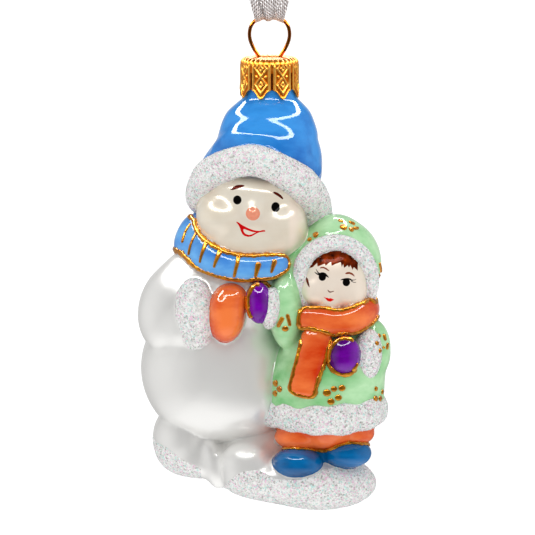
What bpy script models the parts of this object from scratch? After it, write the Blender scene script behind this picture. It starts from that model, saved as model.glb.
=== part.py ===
"""Mould-blown glass tree ornament: a snowman in a hat and scarf with a child in a hooded coat beside it.

The glass is one hollow body with an open neck. A brass crown cap sits over the neck, a spring wire passes
through the cap and grips the neck from inside, and a woven ribbon goes round the wire.
Sizes below are in millimetres: X to the right, Y to the back, Z up from the lowest point of the snow base.
The finished part has its origin at the hang point, inside the top of the ribbon's loop.
"""
from math import cos, pi, radians, sin, sqrt

import bmesh
import bpy
from mathutils import Matrix, Vector

MM = 0.001
HANG_HEIGHT = 127.4

WALL = 1.1
LEAST_HOLLOW_RADIUS = 4.2
NECK_RADIUS = 5.8
NECK_WALL = 1.0
NECK_TOP = 102.2
NECK_FOOT = 84.0

STACK_POINTS = 32
ROLL_POINTS = 20
ROUND_END = (80, 60, 40, 20, 0)
NECK_POINTS = 40
NECK_OVERRUN = 4.0

OUTER_VOXEL = 0.55
OUTER_SMOOTHING = 3
OUTER_FACES_KEPT = 0.035
HOLLOW_VOXEL = 1.0
HOLLOW_SMOOTHING = 3
HOLLOW_FACES_KEPT = 0.036

CAP_TOP = 103.8
CAP_RADIUS = 6.75
CAP_SHEET = 0.35
CAP_SHOULDER = [(-3.6, 0.0), (-0.9, 0.0), (-0.25, -0.35), (0.0, -1.1)]
SKIRT_SPREAD = 0.1
PETALS = 8
PETAL_COLUMNS = 4
FIRST_SLIT = radians(5.0)
SLIT_HALF_ANGLE = radians(1.6)
SLIT_TOP = 100.4
PETAL_VALLEY = 96.7
PETAL_TIP = 94.5
PETAL_FLARE = 0.35
FLARE_HEIGHT = 0.3

WIRE_RADIUS = 0.33
WIRE_FOOT = 2.35
WIRE_HOLE_RADIUS = 0.85
WIRE_HOLE_DEPTH = 3.0
WIRE_HOLE_POINTS = 12
WIRE_BEVEL_STEPS = 1
WIRE_STEPS = 3
LOOP_HALF = [
    (0.0, 113.4), (1.9, 113.0), (3.4, 112.0), (4.3, 110.7), (4.6, 109.0), (4.35, 107.4), (3.6, 105.7),
    (2.9, 104.6), (WIRE_FOOT, 103.6), (2.1, 102.2), (2.4, 100.2), (3.2, 96.5), (3.9, 92.5),
]

RIBBON_SHEET = 0.4
RIBBON_BOTTOM = 112.3
RIBBON_TOP = 127.8
RIBBON_OPENING = 2.1
RIBBON_HALF_WIDTH = 3.25
RIBBON_SWELL = 1.45
KNOT_STARTS = 0.6
LOOP_CROWN_RADIUS = 5.6
LOOP_CROWN_HALF = 4.0
RIBBON_COLUMNS = 6
RIBBON_ROWS = 11
KNOT_CENTRE = (0.0, 0.0, 129.9)
KNOT_RADII = (3.3, 2.6, 2.4)
TAIL_REACH = (4.0, 0.6, 7.0)
TAIL_HALF_WIDTHS = (1.2, 2.4, 3.2)
TAIL_TURN = 0.3


# ---------------------------------------------------------------- general tools

def clear_scene():
    for thing in list(bpy.data.objects):
        bpy.data.objects.remove(thing, do_unlink=True)


def finish_material(name, colour, roughness, metallic=0.0):
    material = bpy.data.materials.new(name)
    material.use_nodes = True
    shader = material.node_tree.nodes["Principled BSDF"]
    shader.inputs["Base Color"].default_value = (*colour, 1.0)
    shader.inputs["Roughness"].default_value = roughness
    shader.inputs["Metallic"].default_value = metallic
    return material


def place_object(name, data):
    """Put a mesh or curve made in the ornament's frame so that the hang point is the origin."""
    thing = bpy.data.objects.new(name, data)
    thing.location = (0.0, 0.0, -HANG_HEIGHT * MM)
    bpy.context.collection.objects.link(thing)
    return thing


def object_from_bmesh(name, bm):
    bmesh.ops.recalc_face_normals(bm, faces=bm.faces)
    bmesh.ops.scale(bm, vec=(MM, MM, MM), verts=bm.verts)
    mesh = bpy.data.meshes.new(name)
    bm.to_mesh(mesh)
    bm.free()
    return place_object(name, mesh)


def make_guide(thing):
    thing.hide_render = True
    thing.display_type = "WIRE"
    return thing


def add_boolean(thing, other, operation):
    step = thing.modifiers.new(other.name, "BOOLEAN")
    step.operation = operation
    step.solver = "EXACT"
    step.object = other


def add_fusing(thing, voxel, smoothing, kept):
    """Fuse overlapping forms into one skin, soften the creases and keep a share of the faces."""
    fuse = thing.modifiers.new("fuse", "REMESH")
    fuse.mode = "VOXEL"
    fuse.voxel_size = voxel * MM
    soften = thing.modifiers.new("soften", "SMOOTH")
    soften.factor = 0.5
    soften.iterations = smoothing
    thin_out = thing.modifiers.new("thin_out", "DECIMATE")
    thin_out.ratio = kept
    thin_out.use_collapse_triangulate = True


def smooth_path(points, steps, closed=False):
    """Catmull-Rom curve through rows of numbers of any length."""
    count = len(points)
    spans = count if closed else count - 1
    rows = []
    for i in range(spans):
        if closed:
            a, b, c, d = (points[(i + k) % count] for k in (-1, 0, 1, 2))
        else:
            a, b, c, d = (points[min(max(i + k, 0), count - 1)] for k in (-1, 0, 1, 2))
        for step in range(steps):
            t = step / steps
            rows.append([
                q + (r - p) * t / 2 + (2 * p - 5 * q + 4 * r - s) * t ** 2 / 2
                + (3 * q - p - 3 * r + s) * t ** 3 / 2
                for p, q, r, s in zip(a, b, c, d)
            ])
    if not closed:
        rows.append(list(points[-1]))
    return rows


def circle(count):
    """Angles of evenly spaced points round a circle."""
    return [2 * pi * k / count for k in range(count)]


def bridge(bm, rings, closed=False):
    """Join rings of vertices of equal length with quads, and fill the ends of an open run."""
    count = len(rings[0])
    pairs = list(zip(rings, rings[1:]))
    if closed:
        pairs.append((rings[-1], rings[0]))
    for low, high in pairs:
        for i in range(count):
            j = (i + 1) % count
            bm.faces.new((low[i], low[j], high[j], high[i]))
    if not closed:
        bm.faces.new(rings[0])
        bm.faces.new(rings[-1])


# ---------------------------------------------------------------- the glass

class Clay:
    """Collects the overlapping forms of the figure; inset draws each one smaller, for the hollow inside."""

    def __init__(self, inset=0.0):
        self.bm = bmesh.new()
        self.inset = inset

    def too_thin(self, *radii):
        return self.inset > 0.0 and min(radii) < LEAST_HOLLOW_RADIUS

    def ellipsoid(self, centre, radii, lean=0.0):
        """Lean, in degrees, tips the right end down."""
        if self.too_thin(*radii):
            return
        size = [radius - self.inset for radius in radii]
        turn = Matrix.Rotation(radians(lean), 4, "Y")
        place = Matrix.Translation(centre) @ turn @ Matrix.Diagonal((*size, 1.0))
        bmesh.ops.create_icosphere(self.bm, subdivisions=4, radius=1.0, matrix=place)

    def stack(self, rows):
        """Upright body of oval levels, each (z, centre x, centre y, half width, half depth)."""
        rings = []
        for z, x, y, wide, deep in smooth_path(rows, 4):
            wide, deep = wide - self.inset, deep - self.inset
            rings.append([
                self.bm.verts.new((x + wide * cos(turn), y + deep * sin(turn), z))
                for turn in circle(STACK_POINTS)
            ])
        bridge(self.bm, rings)

    def roll(self, stations, closed=False, upright=(0, 0, 1)):
        """Padded roll along a smooth path; a station is (x, y, z, half thickness, half height)."""
        if self.inset > 0.0:
            return
        rows = smooth_path(stations, 4, closed)
        places = [Vector(row[:3]) for row in rows]
        count = len(places)
        rings = []
        for i, (place, row) in enumerate(zip(places, rows)):
            after = places[(i + 1) % count] if closed else places[min(i + 1, count - 1)]
            before = places[i - 1] if closed or i > 0 else place
            along = (after - before).normalized()
            up = Vector(upright)
            up = (up - along * up.dot(along)).normalized()
            side = along.cross(up)
            shrink = [(1.0, 0.0)]
            if not closed and i == 0:
                shrink = [(cos(radians(a)), -sin(radians(a))) for a in ROUND_END]
            elif not closed and i == count - 1:
                shrink = [(cos(radians(a)), sin(radians(a))) for a in reversed(ROUND_END)]
            for scale, push in shrink:
                centre = place + along * push * min(row[3], row[4])
                wide, tall = side * row[3] * scale, up * row[4] * scale
                rings.append([
                    self.bm.verts.new(centre + wide * cos(turn) + tall * sin(turn))
                    for turn in circle(ROLL_POINTS)
                ])
        bridge(self.bm, rings, closed)


def snowman_body(clay):
    clay.ellipsoid((-12.1, 0.0, 32.0), (17.5, 17.0, 17.5))
    clay.ellipsoid((-5.4, 0.5, 27.1), (11.5, 15.5, 11.3))
    clay.ellipsoid((-11.8, 0.0, 49.0), (12.4, 13.5, 11.5))
    clay.ellipsoid((-6.0, -2.0, 60.0), (9.0, 10.5, 6.0))
    clay.ellipsoid((-6.0, -6.2, 49.6), (10.0, 9.0, 9.6))
    clay.ellipsoid((-22.0, -6.0, 46.6), (8.0, 8.6, 10.8), lean=15)
    clay.ellipsoid((-18.8, -10.6, 43.4), (6.2, 5.8, 6.0))


def snowman_face(clay):
    clay.ellipsoid((-4.5, -0.5, 68.9), (12.2, 13.0, 10.1), lean=8)
    clay.ellipsoid((-10.9, -7.8, 68.0), (5.8, 7.4, 5.3))
    clay.ellipsoid((2.6, -7.3, 66.5), (5.5, 7.4, 5.3))
    clay.ellipsoid((-4.5, -7.3, 63.3), (5.1, 6.0, 3.5))
    clay.ellipsoid((-4.0, -8.5, 73.6), (7.8, 5.0, 3.2), lean=8)
    clay.ellipsoid((-4.1, -12.2, 70.2), (2.0, 2.6, 2.1))
    clay.ellipsoid((-5.0, -6.0, 61.6), (9.2, 8.4, 5.4))
    clay.ellipsoid((1.5, -4.5, 62.8), (7.0, 8.5, 5.5))
    clay.ellipsoid((-3.9, -14.0, 69.4), (1.4, 1.9, 1.4))


def snowman_hat(clay):
    clay.stack([
        (95.6, 0.1, 0.0, 6.0, 6.0), (94.3, 0.1, 0.0, 6.3, 6.3), (93.1, 0.0, 0.0, 7.6, 7.6),
        (91.1, -0.2, 0.2, 9.5, 9.4), (88.8, -0.3, 0.3, 10.6, 10.4), (86.5, -0.3, 0.4, 11.3, 11.2),
        (84.6, -0.5, 0.6, 11.7, 11.8), (82.3, -1.0, 1.0, 12.8, 12.2), (80.0, -1.6, 1.6, 13.7, 12.2),
        (77.7, -2.0, 2.4, 14.1, 11.6), (74.9, -2.1, 3.2, 13.8, 10.6), (71.9, -2.6, 3.6, 12.4, 9.6),
    ])
    clay.roll([
        (-11.0, -3.6, 83.0, 0.9, 1.0), (-9.2, -7.0, 85.0, 1.0, 1.1), (-5.4, -9.7, 86.3, 1.1, 1.2),
        (-0.8, -10.5, 85.9, 1.1, 1.2), (3.4, -9.6, 84.5, 1.1, 1.2), (6.6, -7.6, 82.6, 1.0, 1.1),
    ], upright=(0, 0.3, 1))
    clay.roll([
        (1.6, -11.2, 83.3, 0.7, 0.8), (5.0, -9.6, 81.9, 0.9, 1.0), (8.4, -6.4, 79.8, 0.9, 1.0),
        (10.6, -2.0, 77.6, 0.7, 0.8),
    ], upright=(0, 0.3, 1))


def hat_brim(clay):
    clay.roll([
        (-4.0, -12.6, 81.2, 3.4, 3.5), (1.3, -11.6, 79.6, 3.4, 3.6), (6.3, -8.2, 76.2, 3.6, 3.9),
        (9.5, -3.8, 72.1, 3.9, 4.2), (10.3, -0.5, 68.0, 4.0, 4.2), (10.0, 5.5, 66.5, 3.8, 4.2),
        (6.3, 10.4, 67.5, 3.5, 3.9), (0.5, 13.0, 68.0, 3.4, 3.8), (-6.0, 13.3, 68.5, 3.4, 3.8),
        (-11.5, 10.8, 69.3, 3.4, 3.8), (-14.6, 6.0, 70.3, 3.4, 3.8), (-15.9, 0.5, 71.4, 3.3, 3.6),
        (-15.4, -4.5, 74.8, 3.2, 3.5), (-13.5, -8.4, 77.9, 3.3, 3.5), (-9.1, -11.4, 80.3, 3.3, 3.5),
    ], closed=True, upright=(-0.15, 0.3, 1))


def snowman_scarf(clay):
    clay.roll([
        (2.5, -12.9, 57.6, 1.9, 2.2), (0.9, -13.7, 57.3, 2.1, 2.7), (-1.3, -14.2, 57.0, 2.1, 2.9),
        (-5.4, -14.6, 56.9, 2.1, 3.1), (-9.5, -13.8, 57.5, 2.1, 3.3), (-13.5, -11.5, 59.1, 2.1, 3.8),
        (-16.6, -7.6, 61.0, 2.0, 4.4), (-18.5, -2.0, 62.2, 2.0, 4.8), (-17.3, 4.0, 61.8, 2.1, 4.4),
        (-14.0, 9.6, 60.2, 2.5, 3.9), (-8.0, 13.2, 58.8, 2.5, 3.6), (-1.0, 13.8, 58.0, 2.5, 3.5),
        (6.0, 11.2, 57.5, 2.5, 3.3), (9.0, 7.5, 57.0, 2.4, 3.1),
    ], upright=(0.5, 0.3, 1))


def snowman_hand(clay):
    clay.ellipsoid((-17.0, -13.8, 46.0), (4.6, 4.6, 8.4), lean=-3)
    clay.ellipsoid((-9.8, -14.6, 46.3), (4.2, 5.4, 6.6), lean=4)
    clay.ellipsoid((-8.6, -15.0, 50.0), (3.6, 4.8, 3.6))


def child_coat(clay):
    clay.stack([
        (50.5, 15.0, -5.0, 4.6, 6.0), (47.6, 14.8, -5.0, 5.1, 6.5), (44.1, 14.6, -5.4, 7.8, 8.2),
        (40.6, 14.5, -6.0, 9.9, 9.8), (36.0, 14.3, -7.2, 12.9, 11.6), (31.3, 13.1, -7.8, 13.5, 12.8),
        (26.7, 12.8, -8.0, 13.5, 12.8), (23.2, 12.9, -7.8, 13.2, 12.4), (18.8, 12.8, -7.0, 11.3, 11.5),
        (15.1, 12.5, -7.0, 8.7, 9.0),
    ])
    clay.ellipsoid((3.6, -12.0, 46.3), (3.9, 5.2, 8.7), lean=-4)
    clay.ellipsoid((5.2, -6.0, 53.0), (4.0, 7.0, 8.0))
    clay.ellipsoid((23.5, -9.0, 38.5), (4.2, 5.4, 6.2), lean=-8)
    clay.ellipsoid((15.6, -3.2, 56.4), (10.1, 10.2, 10.7))
    clay.ellipsoid((14.8, -5.5, 63.3), (4.4, 6.0, 3.9), lean=-38)
    clay.ellipsoid((7.6, -4.5, 57.4), (4.4, 8.0, 5.0))


def child_face(clay):
    clay.ellipsoid((15.0, -9.8, 53.3), (7.6, 6.6, 6.8), lean=4)
    clay.ellipsoid((10.6, -12.6, 51.2), (3.2, 3.8, 3.2))
    clay.ellipsoid((18.4, -12.6, 50.4), (3.4, 3.8, 3.2))
    clay.ellipsoid((14.1, -13.0, 48.8), (2.6, 3.6, 2.2))
    clay.ellipsoid((14.9, -8.6, 55.6), (7.6, 6.4, 7.2))
    clay.ellipsoid((14.3, -15.6, 51.9), (0.8, 1.2, 1.2))


def hood_trim(clay):
    clay.roll([
        (8.3, -12.2, 48.8, 1.6, 1.5), (7.4, -12.0, 51.2, 1.7, 1.6), (7.1, -12.1, 54.2, 1.7, 1.6),
        (7.7, -12.6, 57.9, 1.8, 1.7), (10.0, -13.2, 60.8, 1.8, 1.8), (13.5, -13.5, 62.4, 1.8, 1.9),
        (17.1, -13.5, 62.3, 1.8, 1.9), (20.4, -12.9, 60.4, 1.8, 1.8), (22.5, -12.0, 57.3, 1.8, 1.7),
        (23.3, -11.2, 53.6, 1.8, 1.6), (22.8, -10.4, 50.0, 1.7, 1.5),
    ], upright=(0, 1, 0))


def child_scarf(clay):
    clay.roll([
        (7.1, -13.6, 45.0, 1.8, 1.9), (8.3, -14.6, 45.1, 2.2, 2.8), (11.4, -15.9, 45.0, 2.4, 3.1),
        (15.1, -16.6, 44.5, 2.4, 3.1), (18.7, -16.2, 45.0, 2.4, 3.1), (21.5, -13.4, 46.1, 2.4, 3.1),
        (22.9, -8.5, 46.6, 2.3, 3.1), (22.4, -3.0, 46.3, 2.3, 3.0), (19.5, 1.8, 46.3, 2.3, 2.9),
        (14.5, 4.0, 46.3, 2.3, 2.9), (9.0, 2.5, 46.0, 2.2, 2.8),
    ], upright=(0, 0.2, 1))
    clay.roll([
        (10.8, -16.8, 41.2, 1.4, 3.6), (9.8, -18.4, 37.7, 1.4, 3.3), (8.5, -19.7, 33.5, 1.4, 3.1),
        (7.4, -20.4, 29.4, 1.4, 3.1),
    ], upright=(1, 0, 0.25))


def child_hands(clay):
    clay.ellipsoid((0.2, -15.6, 47.6), (2.1, 3.0, 4.8), lean=6)
    clay.ellipsoid((-2.5, -15.6, 48.9), (2.9, 4.2, 4.8), lean=-2)
    clay.ellipsoid((22.2, -14.2, 36.8), (2.9, 3.8, 5.8), lean=6)
    clay.ellipsoid((17.0, -18.2, 37.1), (3.7, 3.8, 4.5), lean=10)


def coat_hem(clay):
    clay.roll([
        (0.6, -11.0, 23.2, 2.3, 3.7), (2.6, -13.6, 23.1, 2.0, 3.4), (5.0, -15.8, 23.2, 2.6, 3.9),
        (7.6, -17.8, 22.9, 2.1, 3.5), (10.4, -19.0, 22.7, 2.6, 3.9), (13.5, -19.7, 22.6, 2.1, 3.5),
        (16.6, -19.2, 22.7, 2.6, 3.9), (19.6, -17.6, 23.0, 2.1, 3.5), (22.3, -15.4, 23.3, 2.6, 3.8),
        (24.1, -11.6, 23.5, 2.1, 3.4), (24.8, -8.0, 23.4, 2.3, 3.5), (24.9, -4.0, 23.0, 2.1, 3.0),
        (23.5, 0.5, 22.5, 2.3, 2.8), (18.0, 4.6, 22.0, 2.3, 2.8), (11.0, 5.6, 21.5, 2.3, 2.8),
        (5.0, 4.3, 21.5, 2.3, 2.8),
    ])


def child_legs(clay):
    clay.ellipsoid((7.0, -11.0, 17.4), (5.9, 6.4, 3.2))
    clay.ellipsoid((18.5, -10.0, 18.1), (5.6, 6.2, 3.1))
    clay.ellipsoid((6.4, -14.6, 11.9), (5.8, 6.0, 3.6))
    clay.ellipsoid((17.8, -12.3, 13.8), (5.6, 5.9, 3.5))
    clay.ellipsoid((12.6, -7.5, 14.0), (10.0, 7.0, 7.0))


def snow_base(clay):
    clay.ellipsoid((9.8, -6.0, 6.8), (14.7, 13.2, 6.7), lean=4)
    clay.ellipsoid((-1.7, -7.0, 7.9), (9.7, 11.5, 5.3))
    clay.ellipsoid((-5.2, -10.5, 11.1), (6.2, 7.0, 5.3))
    clay.ellipsoid((-19.7, 1.2, 15.7), (7.2, 10.5, 8.1))
    clay.ellipsoid((-14.4, 1.8, 10.3), (10.1, 11.0, 4.3), lean=8)
    clay.ellipsoid((-2.0, -1.0, 13.5), (10.0, 9.5, 6.5))
    clay.ellipsoid((-12.9, -6.4, 10.8), (2.1, 4.0, 5.8), lean=-10)


FIGURE_FORMS = (
    snowman_body, snowman_face, snowman_hat, hat_brim, snowman_scarf, snowman_hand, child_coat, child_face,
    hood_trim, child_scarf, child_hands, coat_hem, child_legs, snow_base,
)


def neck(clay, radius, top):
    rings = [
        [clay.bm.verts.new((radius * cos(turn), radius * sin(turn), z)) for turn in circle(NECK_POINTS)]
        for z in (NECK_FOOT, top)
    ]
    bridge(clay.bm, rings)


def glass_figure():
    """The blown body: the fused outer forms, less the same forms drawn a wall's thickness smaller."""
    outside = Clay()
    inside = Clay(WALL)
    for form in FIGURE_FORMS:
        form(outside)
        form(inside)
    neck(outside, NECK_RADIUS, NECK_TOP)
    neck(inside, NECK_RADIUS - NECK_WALL, NECK_TOP + NECK_OVERRUN)
    body = object_from_bmesh("glass_figure", outside.bm)
    add_fusing(body, OUTER_VOXEL, OUTER_SMOOTHING, OUTER_FACES_KEPT)
    hollow = make_guide(object_from_bmesh("hollow", inside.bm))
    add_fusing(hollow, HOLLOW_VOXEL, HOLLOW_SMOOTHING, HOLLOW_FACES_KEPT)
    add_boolean(body, hollow, "DIFFERENCE")
    body.data.materials.append(finish_material("lacquered_glass", (0.80, 0.80, 0.78), 0.12))
    body.data.shade_smooth()


# ---------------------------------------------------------------- the cap

def petal_columns():
    """Angle of each column, its distance from its petal's middle (0 to 1), and if a slit follows."""
    pitch = 2 * pi / PETALS
    width = pitch - 2 * SLIT_HALF_ANGLE
    for petal in range(PETALS):
        start = FIRST_SLIT + petal * pitch + SLIT_HALF_ANGLE
        for column in range(PETAL_COLUMNS + 1):
            share = column / PETAL_COLUMNS
            yield start + width * share, abs(2 * share - 1), column == PETAL_COLUMNS


def cap_sheet():
    """Lid, rolled shoulder and skirt as one sheet; the skirt's lower part is slit between its petals."""
    bm = bmesh.new()
    levels = [(CAP_RADIUS + step, CAP_TOP + drop) for step, drop in CAP_SHOULDER]
    levels.append((CAP_RADIUS, SLIT_TOP))
    spread = CAP_RADIUS + SKIRT_SPREAD
    columns = []
    slit_follows = []
    for angle, off_centre, slit in petal_columns():
        tip = PETAL_TIP + (PETAL_VALLEY - PETAL_TIP) * off_centre
        outline = levels + [
            (spread, PETAL_VALLEY + FLARE_HEIGHT), (spread + PETAL_FLARE * (1 - off_centre), tip),
        ]
        columns.append([bm.verts.new((r * sin(angle), -r * cos(angle), z)) for r, z in outline])
        slit_follows.append(slit)
    hub = bm.verts.new((0.0, 0.0, CAP_TOP))
    for i, column in enumerate(columns):
        after = columns[(i + 1) % len(columns)]
        bm.faces.new((hub, column[0], after[0]))
        last = len(levels) if slit_follows[i] else len(column)
        for low, high in zip(range(last - 1), range(1, last)):
            bm.faces.new((column[low], column[high], after[high], after[low]))
    return bm


def wire_holes():
    bm = bmesh.new()
    for side in (-1, 1):
        place = Matrix.Translation((side * WIRE_FOOT, 0.0, CAP_TOP))
        bmesh.ops.create_cone(
            bm, cap_ends=True, segments=WIRE_HOLE_POINTS, radius1=WIRE_HOLE_RADIUS, radius2=WIRE_HOLE_RADIUS,
            depth=WIRE_HOLE_DEPTH, matrix=place,
        )
    return make_guide(object_from_bmesh("wire_holes", bm))


def cap():
    crown = object_from_bmesh("cap", cap_sheet())
    sheet = crown.modifiers.new("sheet", "SOLIDIFY")
    sheet.thickness = CAP_SHEET * MM
    sheet.offset = -1.0
    add_boolean(crown, wire_holes(), "DIFFERENCE")
    crown.data.materials.append(finish_material("stamped_brass", (0.78, 0.47, 0.10), 0.28, 1.0))
    crown.data.shade_smooth()


# ---------------------------------------------------------------- the wire

def hanger_wire():
    """One spring wire: a loop above the cap and two legs that splay inside the neck."""
    right = [(x, 0.0, z) for x, z in LOOP_HALF]
    left = [(-x, 0.0, z) for x, z in LOOP_HALF[1:]]
    route = smooth_path(left[::-1] + right, WIRE_STEPS)
    curve = bpy.data.curves.new("hanger_wire", "CURVE")
    curve.dimensions = "3D"
    curve.bevel_depth = WIRE_RADIUS * MM
    curve.bevel_resolution = WIRE_BEVEL_STEPS
    curve.use_fill_caps = True
    spline = curve.splines.new("POLY")
    spline.points.add(len(route) - 1)
    for point, place in zip(spline.points, route):
        point.co = (*(value * MM for value in place), 1.0)
    wire = place_object("hanger_wire", curve)
    wire.data.materials.append(finish_material("brass_wire", (0.62, 0.36, 0.10), 0.22, 1.0))


# ---------------------------------------------------------------- the ribbon

def wire_drop(x):
    """How far the wire's loop has fallen from its crown at a distance x from the middle."""
    return LOOP_CROWN_RADIUS - sqrt(LOOP_CROWN_RADIUS ** 2 - min(abs(x), LOOP_CROWN_HALF) ** 2)


def ribbon_section(share):
    """Half width, half opening and height of the loop, from the wire (0) to the knot (1)."""
    height = RIBBON_BOTTOM + (RIBBON_TOP - RIBBON_BOTTOM) * (1 - cos(pi * share)) / 2
    swell = sin(pi * min(share * 1.25, 1.0)) - max(share - KNOT_STARTS, 0.0)
    half_width = RIBBON_HALF_WIDTH + RIBBON_SWELL * swell
    opening = RIBBON_OPENING * sin(pi * share) ** 0.7
    return half_width, opening, height


def ribbon_band():
    """The doubled ribbon as a closed band: up the front from the wire to the knot, and down the back."""
    bm = bmesh.new()
    rows = []
    for i in range(2 * RIBBON_ROWS):
        turn = pi * i / RIBBON_ROWS
        share = (1 - cos(turn)) / 2
        half_width, opening, height = ribbon_section(share)
        face = -1.0 if i < RIBBON_ROWS else 1.0
        hold = max(0.0, 1.0 - share * 3.0)
        row = []
        for k in range(RIBBON_COLUMNS + 1):
            across = 2 * k / RIBBON_COLUMNS - 1
            x = across * half_width
            row.append(bm.verts.new((x, face * opening, height - hold * wire_drop(x))))
        rows.append(row)
    for row, after in zip(rows, rows[1:] + rows[:1]):
        for k in range(RIBBON_COLUMNS):
            bm.faces.new((row[k], row[k + 1], after[k + 1], after[k]))
    return bm


def ribbon_knot():
    """The overhand knot that closes the loop, with its two short cut tails."""
    bm = bmesh.new()
    place = Matrix.Translation(KNOT_CENTRE) @ Matrix.Diagonal((*KNOT_RADII, 1.0))
    bmesh.ops.create_icosphere(bm, subdivisions=2, radius=1.0, matrix=place)
    return make_guide(object_from_bmesh("knot", bm))


def ribbon_tail(side):
    bm = bmesh.new()
    foot = Vector(KNOT_CENTRE)
    reach_x, reach_y, reach_z = TAIL_REACH
    tip = foot + Vector((side * reach_x, side * reach_y, reach_z))
    rings = []
    for place, half in zip((foot, foot.lerp(tip, 0.5), tip), TAIL_HALF_WIDTHS):
        corners = [(half * k, RIBBON_SHEET * d) for k, d in ((-1, -0.5), (1, -0.5), (1, 0.5), (-1, 0.5))]
        rings.append([bm.verts.new(place + Vector((x, y, -side * x * TAIL_TURN))) for x, y in corners])
    bridge(bm, rings)
    return make_guide(object_from_bmesh("tail", bm))


def ribbon():
    band = object_from_bmesh("ribbon", ribbon_band())
    sheet = band.modifiers.new("sheet", "SOLIDIFY")
    sheet.thickness = RIBBON_SHEET * MM
    sheet.offset = 0.0
    add_boolean(band, ribbon_knot(), "UNION")
    for side in (-1, 1):
        add_boolean(band, ribbon_tail(side), "UNION")
    band.data.materials.append(finish_material("silver_ribbon", (0.68, 0.67, 0.68), 0.45))


clear_scene()
glass_figure()
cap()
hanger_wire()
ribbon()
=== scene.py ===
# %% [markdown]
# # A blown-glass snowman with a child, made in cells
#
# The real thing is a Christmas tree ornament: one hollow glass bubble blown into a mould, lacquered in
# several colours, lined with raised gold, dusted with glitter, and closed by a stamped brass cap on a
# spring wire. A woven ribbon goes round the wire. Each cell below makes or measures one of those things.
#
# Sizes are in millimetres, with X to the right, Y to the back and Z up from the lowest point of the snow.
# The last step of every piece moves it down, so that the hang point inside the ribbon is the origin.

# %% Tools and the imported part
from collections import namedtuple
from functools import reduce
from math import cos, pi, radians, sin

import bpy
import numpy as np
from mathutils import Matrix, Vector
from mathutils.bvhtree import BVHTree


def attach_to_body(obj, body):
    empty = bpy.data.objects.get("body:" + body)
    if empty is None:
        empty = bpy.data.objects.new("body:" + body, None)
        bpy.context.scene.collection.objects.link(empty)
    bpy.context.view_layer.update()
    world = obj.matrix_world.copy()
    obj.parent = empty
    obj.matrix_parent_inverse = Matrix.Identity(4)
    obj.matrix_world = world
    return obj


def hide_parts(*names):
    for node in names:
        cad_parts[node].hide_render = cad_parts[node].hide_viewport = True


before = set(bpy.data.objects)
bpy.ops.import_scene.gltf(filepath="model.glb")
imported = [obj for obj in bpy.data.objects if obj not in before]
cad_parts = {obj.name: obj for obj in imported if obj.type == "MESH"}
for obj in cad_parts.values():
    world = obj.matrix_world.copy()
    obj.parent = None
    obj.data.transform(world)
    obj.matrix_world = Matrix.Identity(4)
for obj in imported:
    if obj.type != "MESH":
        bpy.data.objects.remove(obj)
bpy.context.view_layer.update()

MM = 0.001
HANG_HEIGHT = 127.4
TINY = 1e-6


def to_frame(points):
    """Millimetres above the base to metres around the hang point."""
    return (np.asarray(points, float) - (0.0, 0.0, HANG_HEIGHT)) * MM


print("nodes of the part:", sorted(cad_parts))


# %% [markdown]
# ## The camera
#
# A small ornament is shot from a couple of metres with a long lens, so that near and far parts keep
# their sizes. The camera stands a little above it and looks down by seven degrees, which shows the tips
# of the cap's petals as a gentle arc.

# %% Camera
VIEW_TILT = radians(7.0)
VIEW_DISTANCE = 2.0
VIEW_WIDTH = 0.12305
SENSOR = 36.0
AIM = Vector(to_frame((-0.46, 0.0, 55.1)))

camera = bpy.data.objects.new("camera", bpy.data.cameras.new("camera"))
camera.data.sensor_width = SENSOR
camera.data.lens = SENSOR * VIEW_DISTANCE / VIEW_WIDTH
camera.data.clip_start = 0.05
camera.location = AIM + VIEW_DISTANCE * Vector((0.0, -cos(VIEW_TILT), sin(VIEW_TILT)))
camera.rotation_euler = (pi / 2 - VIEW_TILT, 0.0, 0.0)
bpy.context.collection.objects.link(camera)
bpy.context.scene.camera = camera
print("lens", round(camera.data.lens), "mm")


# %% [markdown]
# ## Distance fields: modelling in soft clay
#
# A blown figure has no sharp edges: every form melts into its neighbour, as wet clay does. Joining
# spheres with booleans leaves hard seams, and voxel remeshing loses small creases. A distance field
# does better. Each form answers one question, how far is this point from your surface, and two answers
# are blended where they come close. The skin is where the blended distance is zero.

# %% How two distances melt together
Form = namedtuple("Form", "distance low high melt")
Group = namedtuple("Group", "forms melt")


def melt(a, b, reach):
    """The smaller of two distances, rounded where they differ by less than reach."""
    share = np.maximum(reach - np.abs(a - b), 0.0) / reach
    return np.minimum(a, b) - share * share * reach / 4


def egg_distance(offsets, radii):
    """Distance from an oval whose radii may differ at every point; offsets are along its axes."""
    near = np.sqrt(((offsets / radii) ** 2).sum(-1))
    steep = np.sqrt(((offsets / radii ** 2) ** 2).sum(-1))
    return near * (near - 1.0) / np.maximum(steep, TINY)


def smooth_path(rows, steps, closed=False):
    """Catmull-Rom curve through rows of numbers, with the given steps between two rows."""
    rows = np.asarray(rows, float)
    count = len(rows)
    spans = np.arange(count if closed else count - 1)
    reach = [(spans + k) % count if closed else np.clip(spans + k, 0, count - 1) for k in (-1, 0, 1, 2)]
    a, b, c, d = (rows[index][:, None] for index in reach)
    t = (np.arange(steps) / steps)[None, :, None]
    bend, twist = 2 * a - 5 * b + 4 * c - d, 3 * b - a - 3 * c + d
    path = 0.5 * (2 * b + (c - a) * t + bend * t ** 2 + twist * t ** 3)
    path = path.reshape(-1, rows.shape[1])
    return path if closed else np.vstack([path, rows[-1:]])


# %% [markdown]
# Three kinds of form make the whole figure. An egg is a padded ball, a stack is an upright body given
# by oval levels, and a roll is a padded tube along a path, for scarves and fur edges.

# %% Egg, stack and roll
LEVEL_STEPS = 12
ROLL_STEPS = 5
STACK_ROUNDING = 1.5
STACK_SIDE_SLOPE = 0.9
AT_ONCE = 30000


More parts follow.
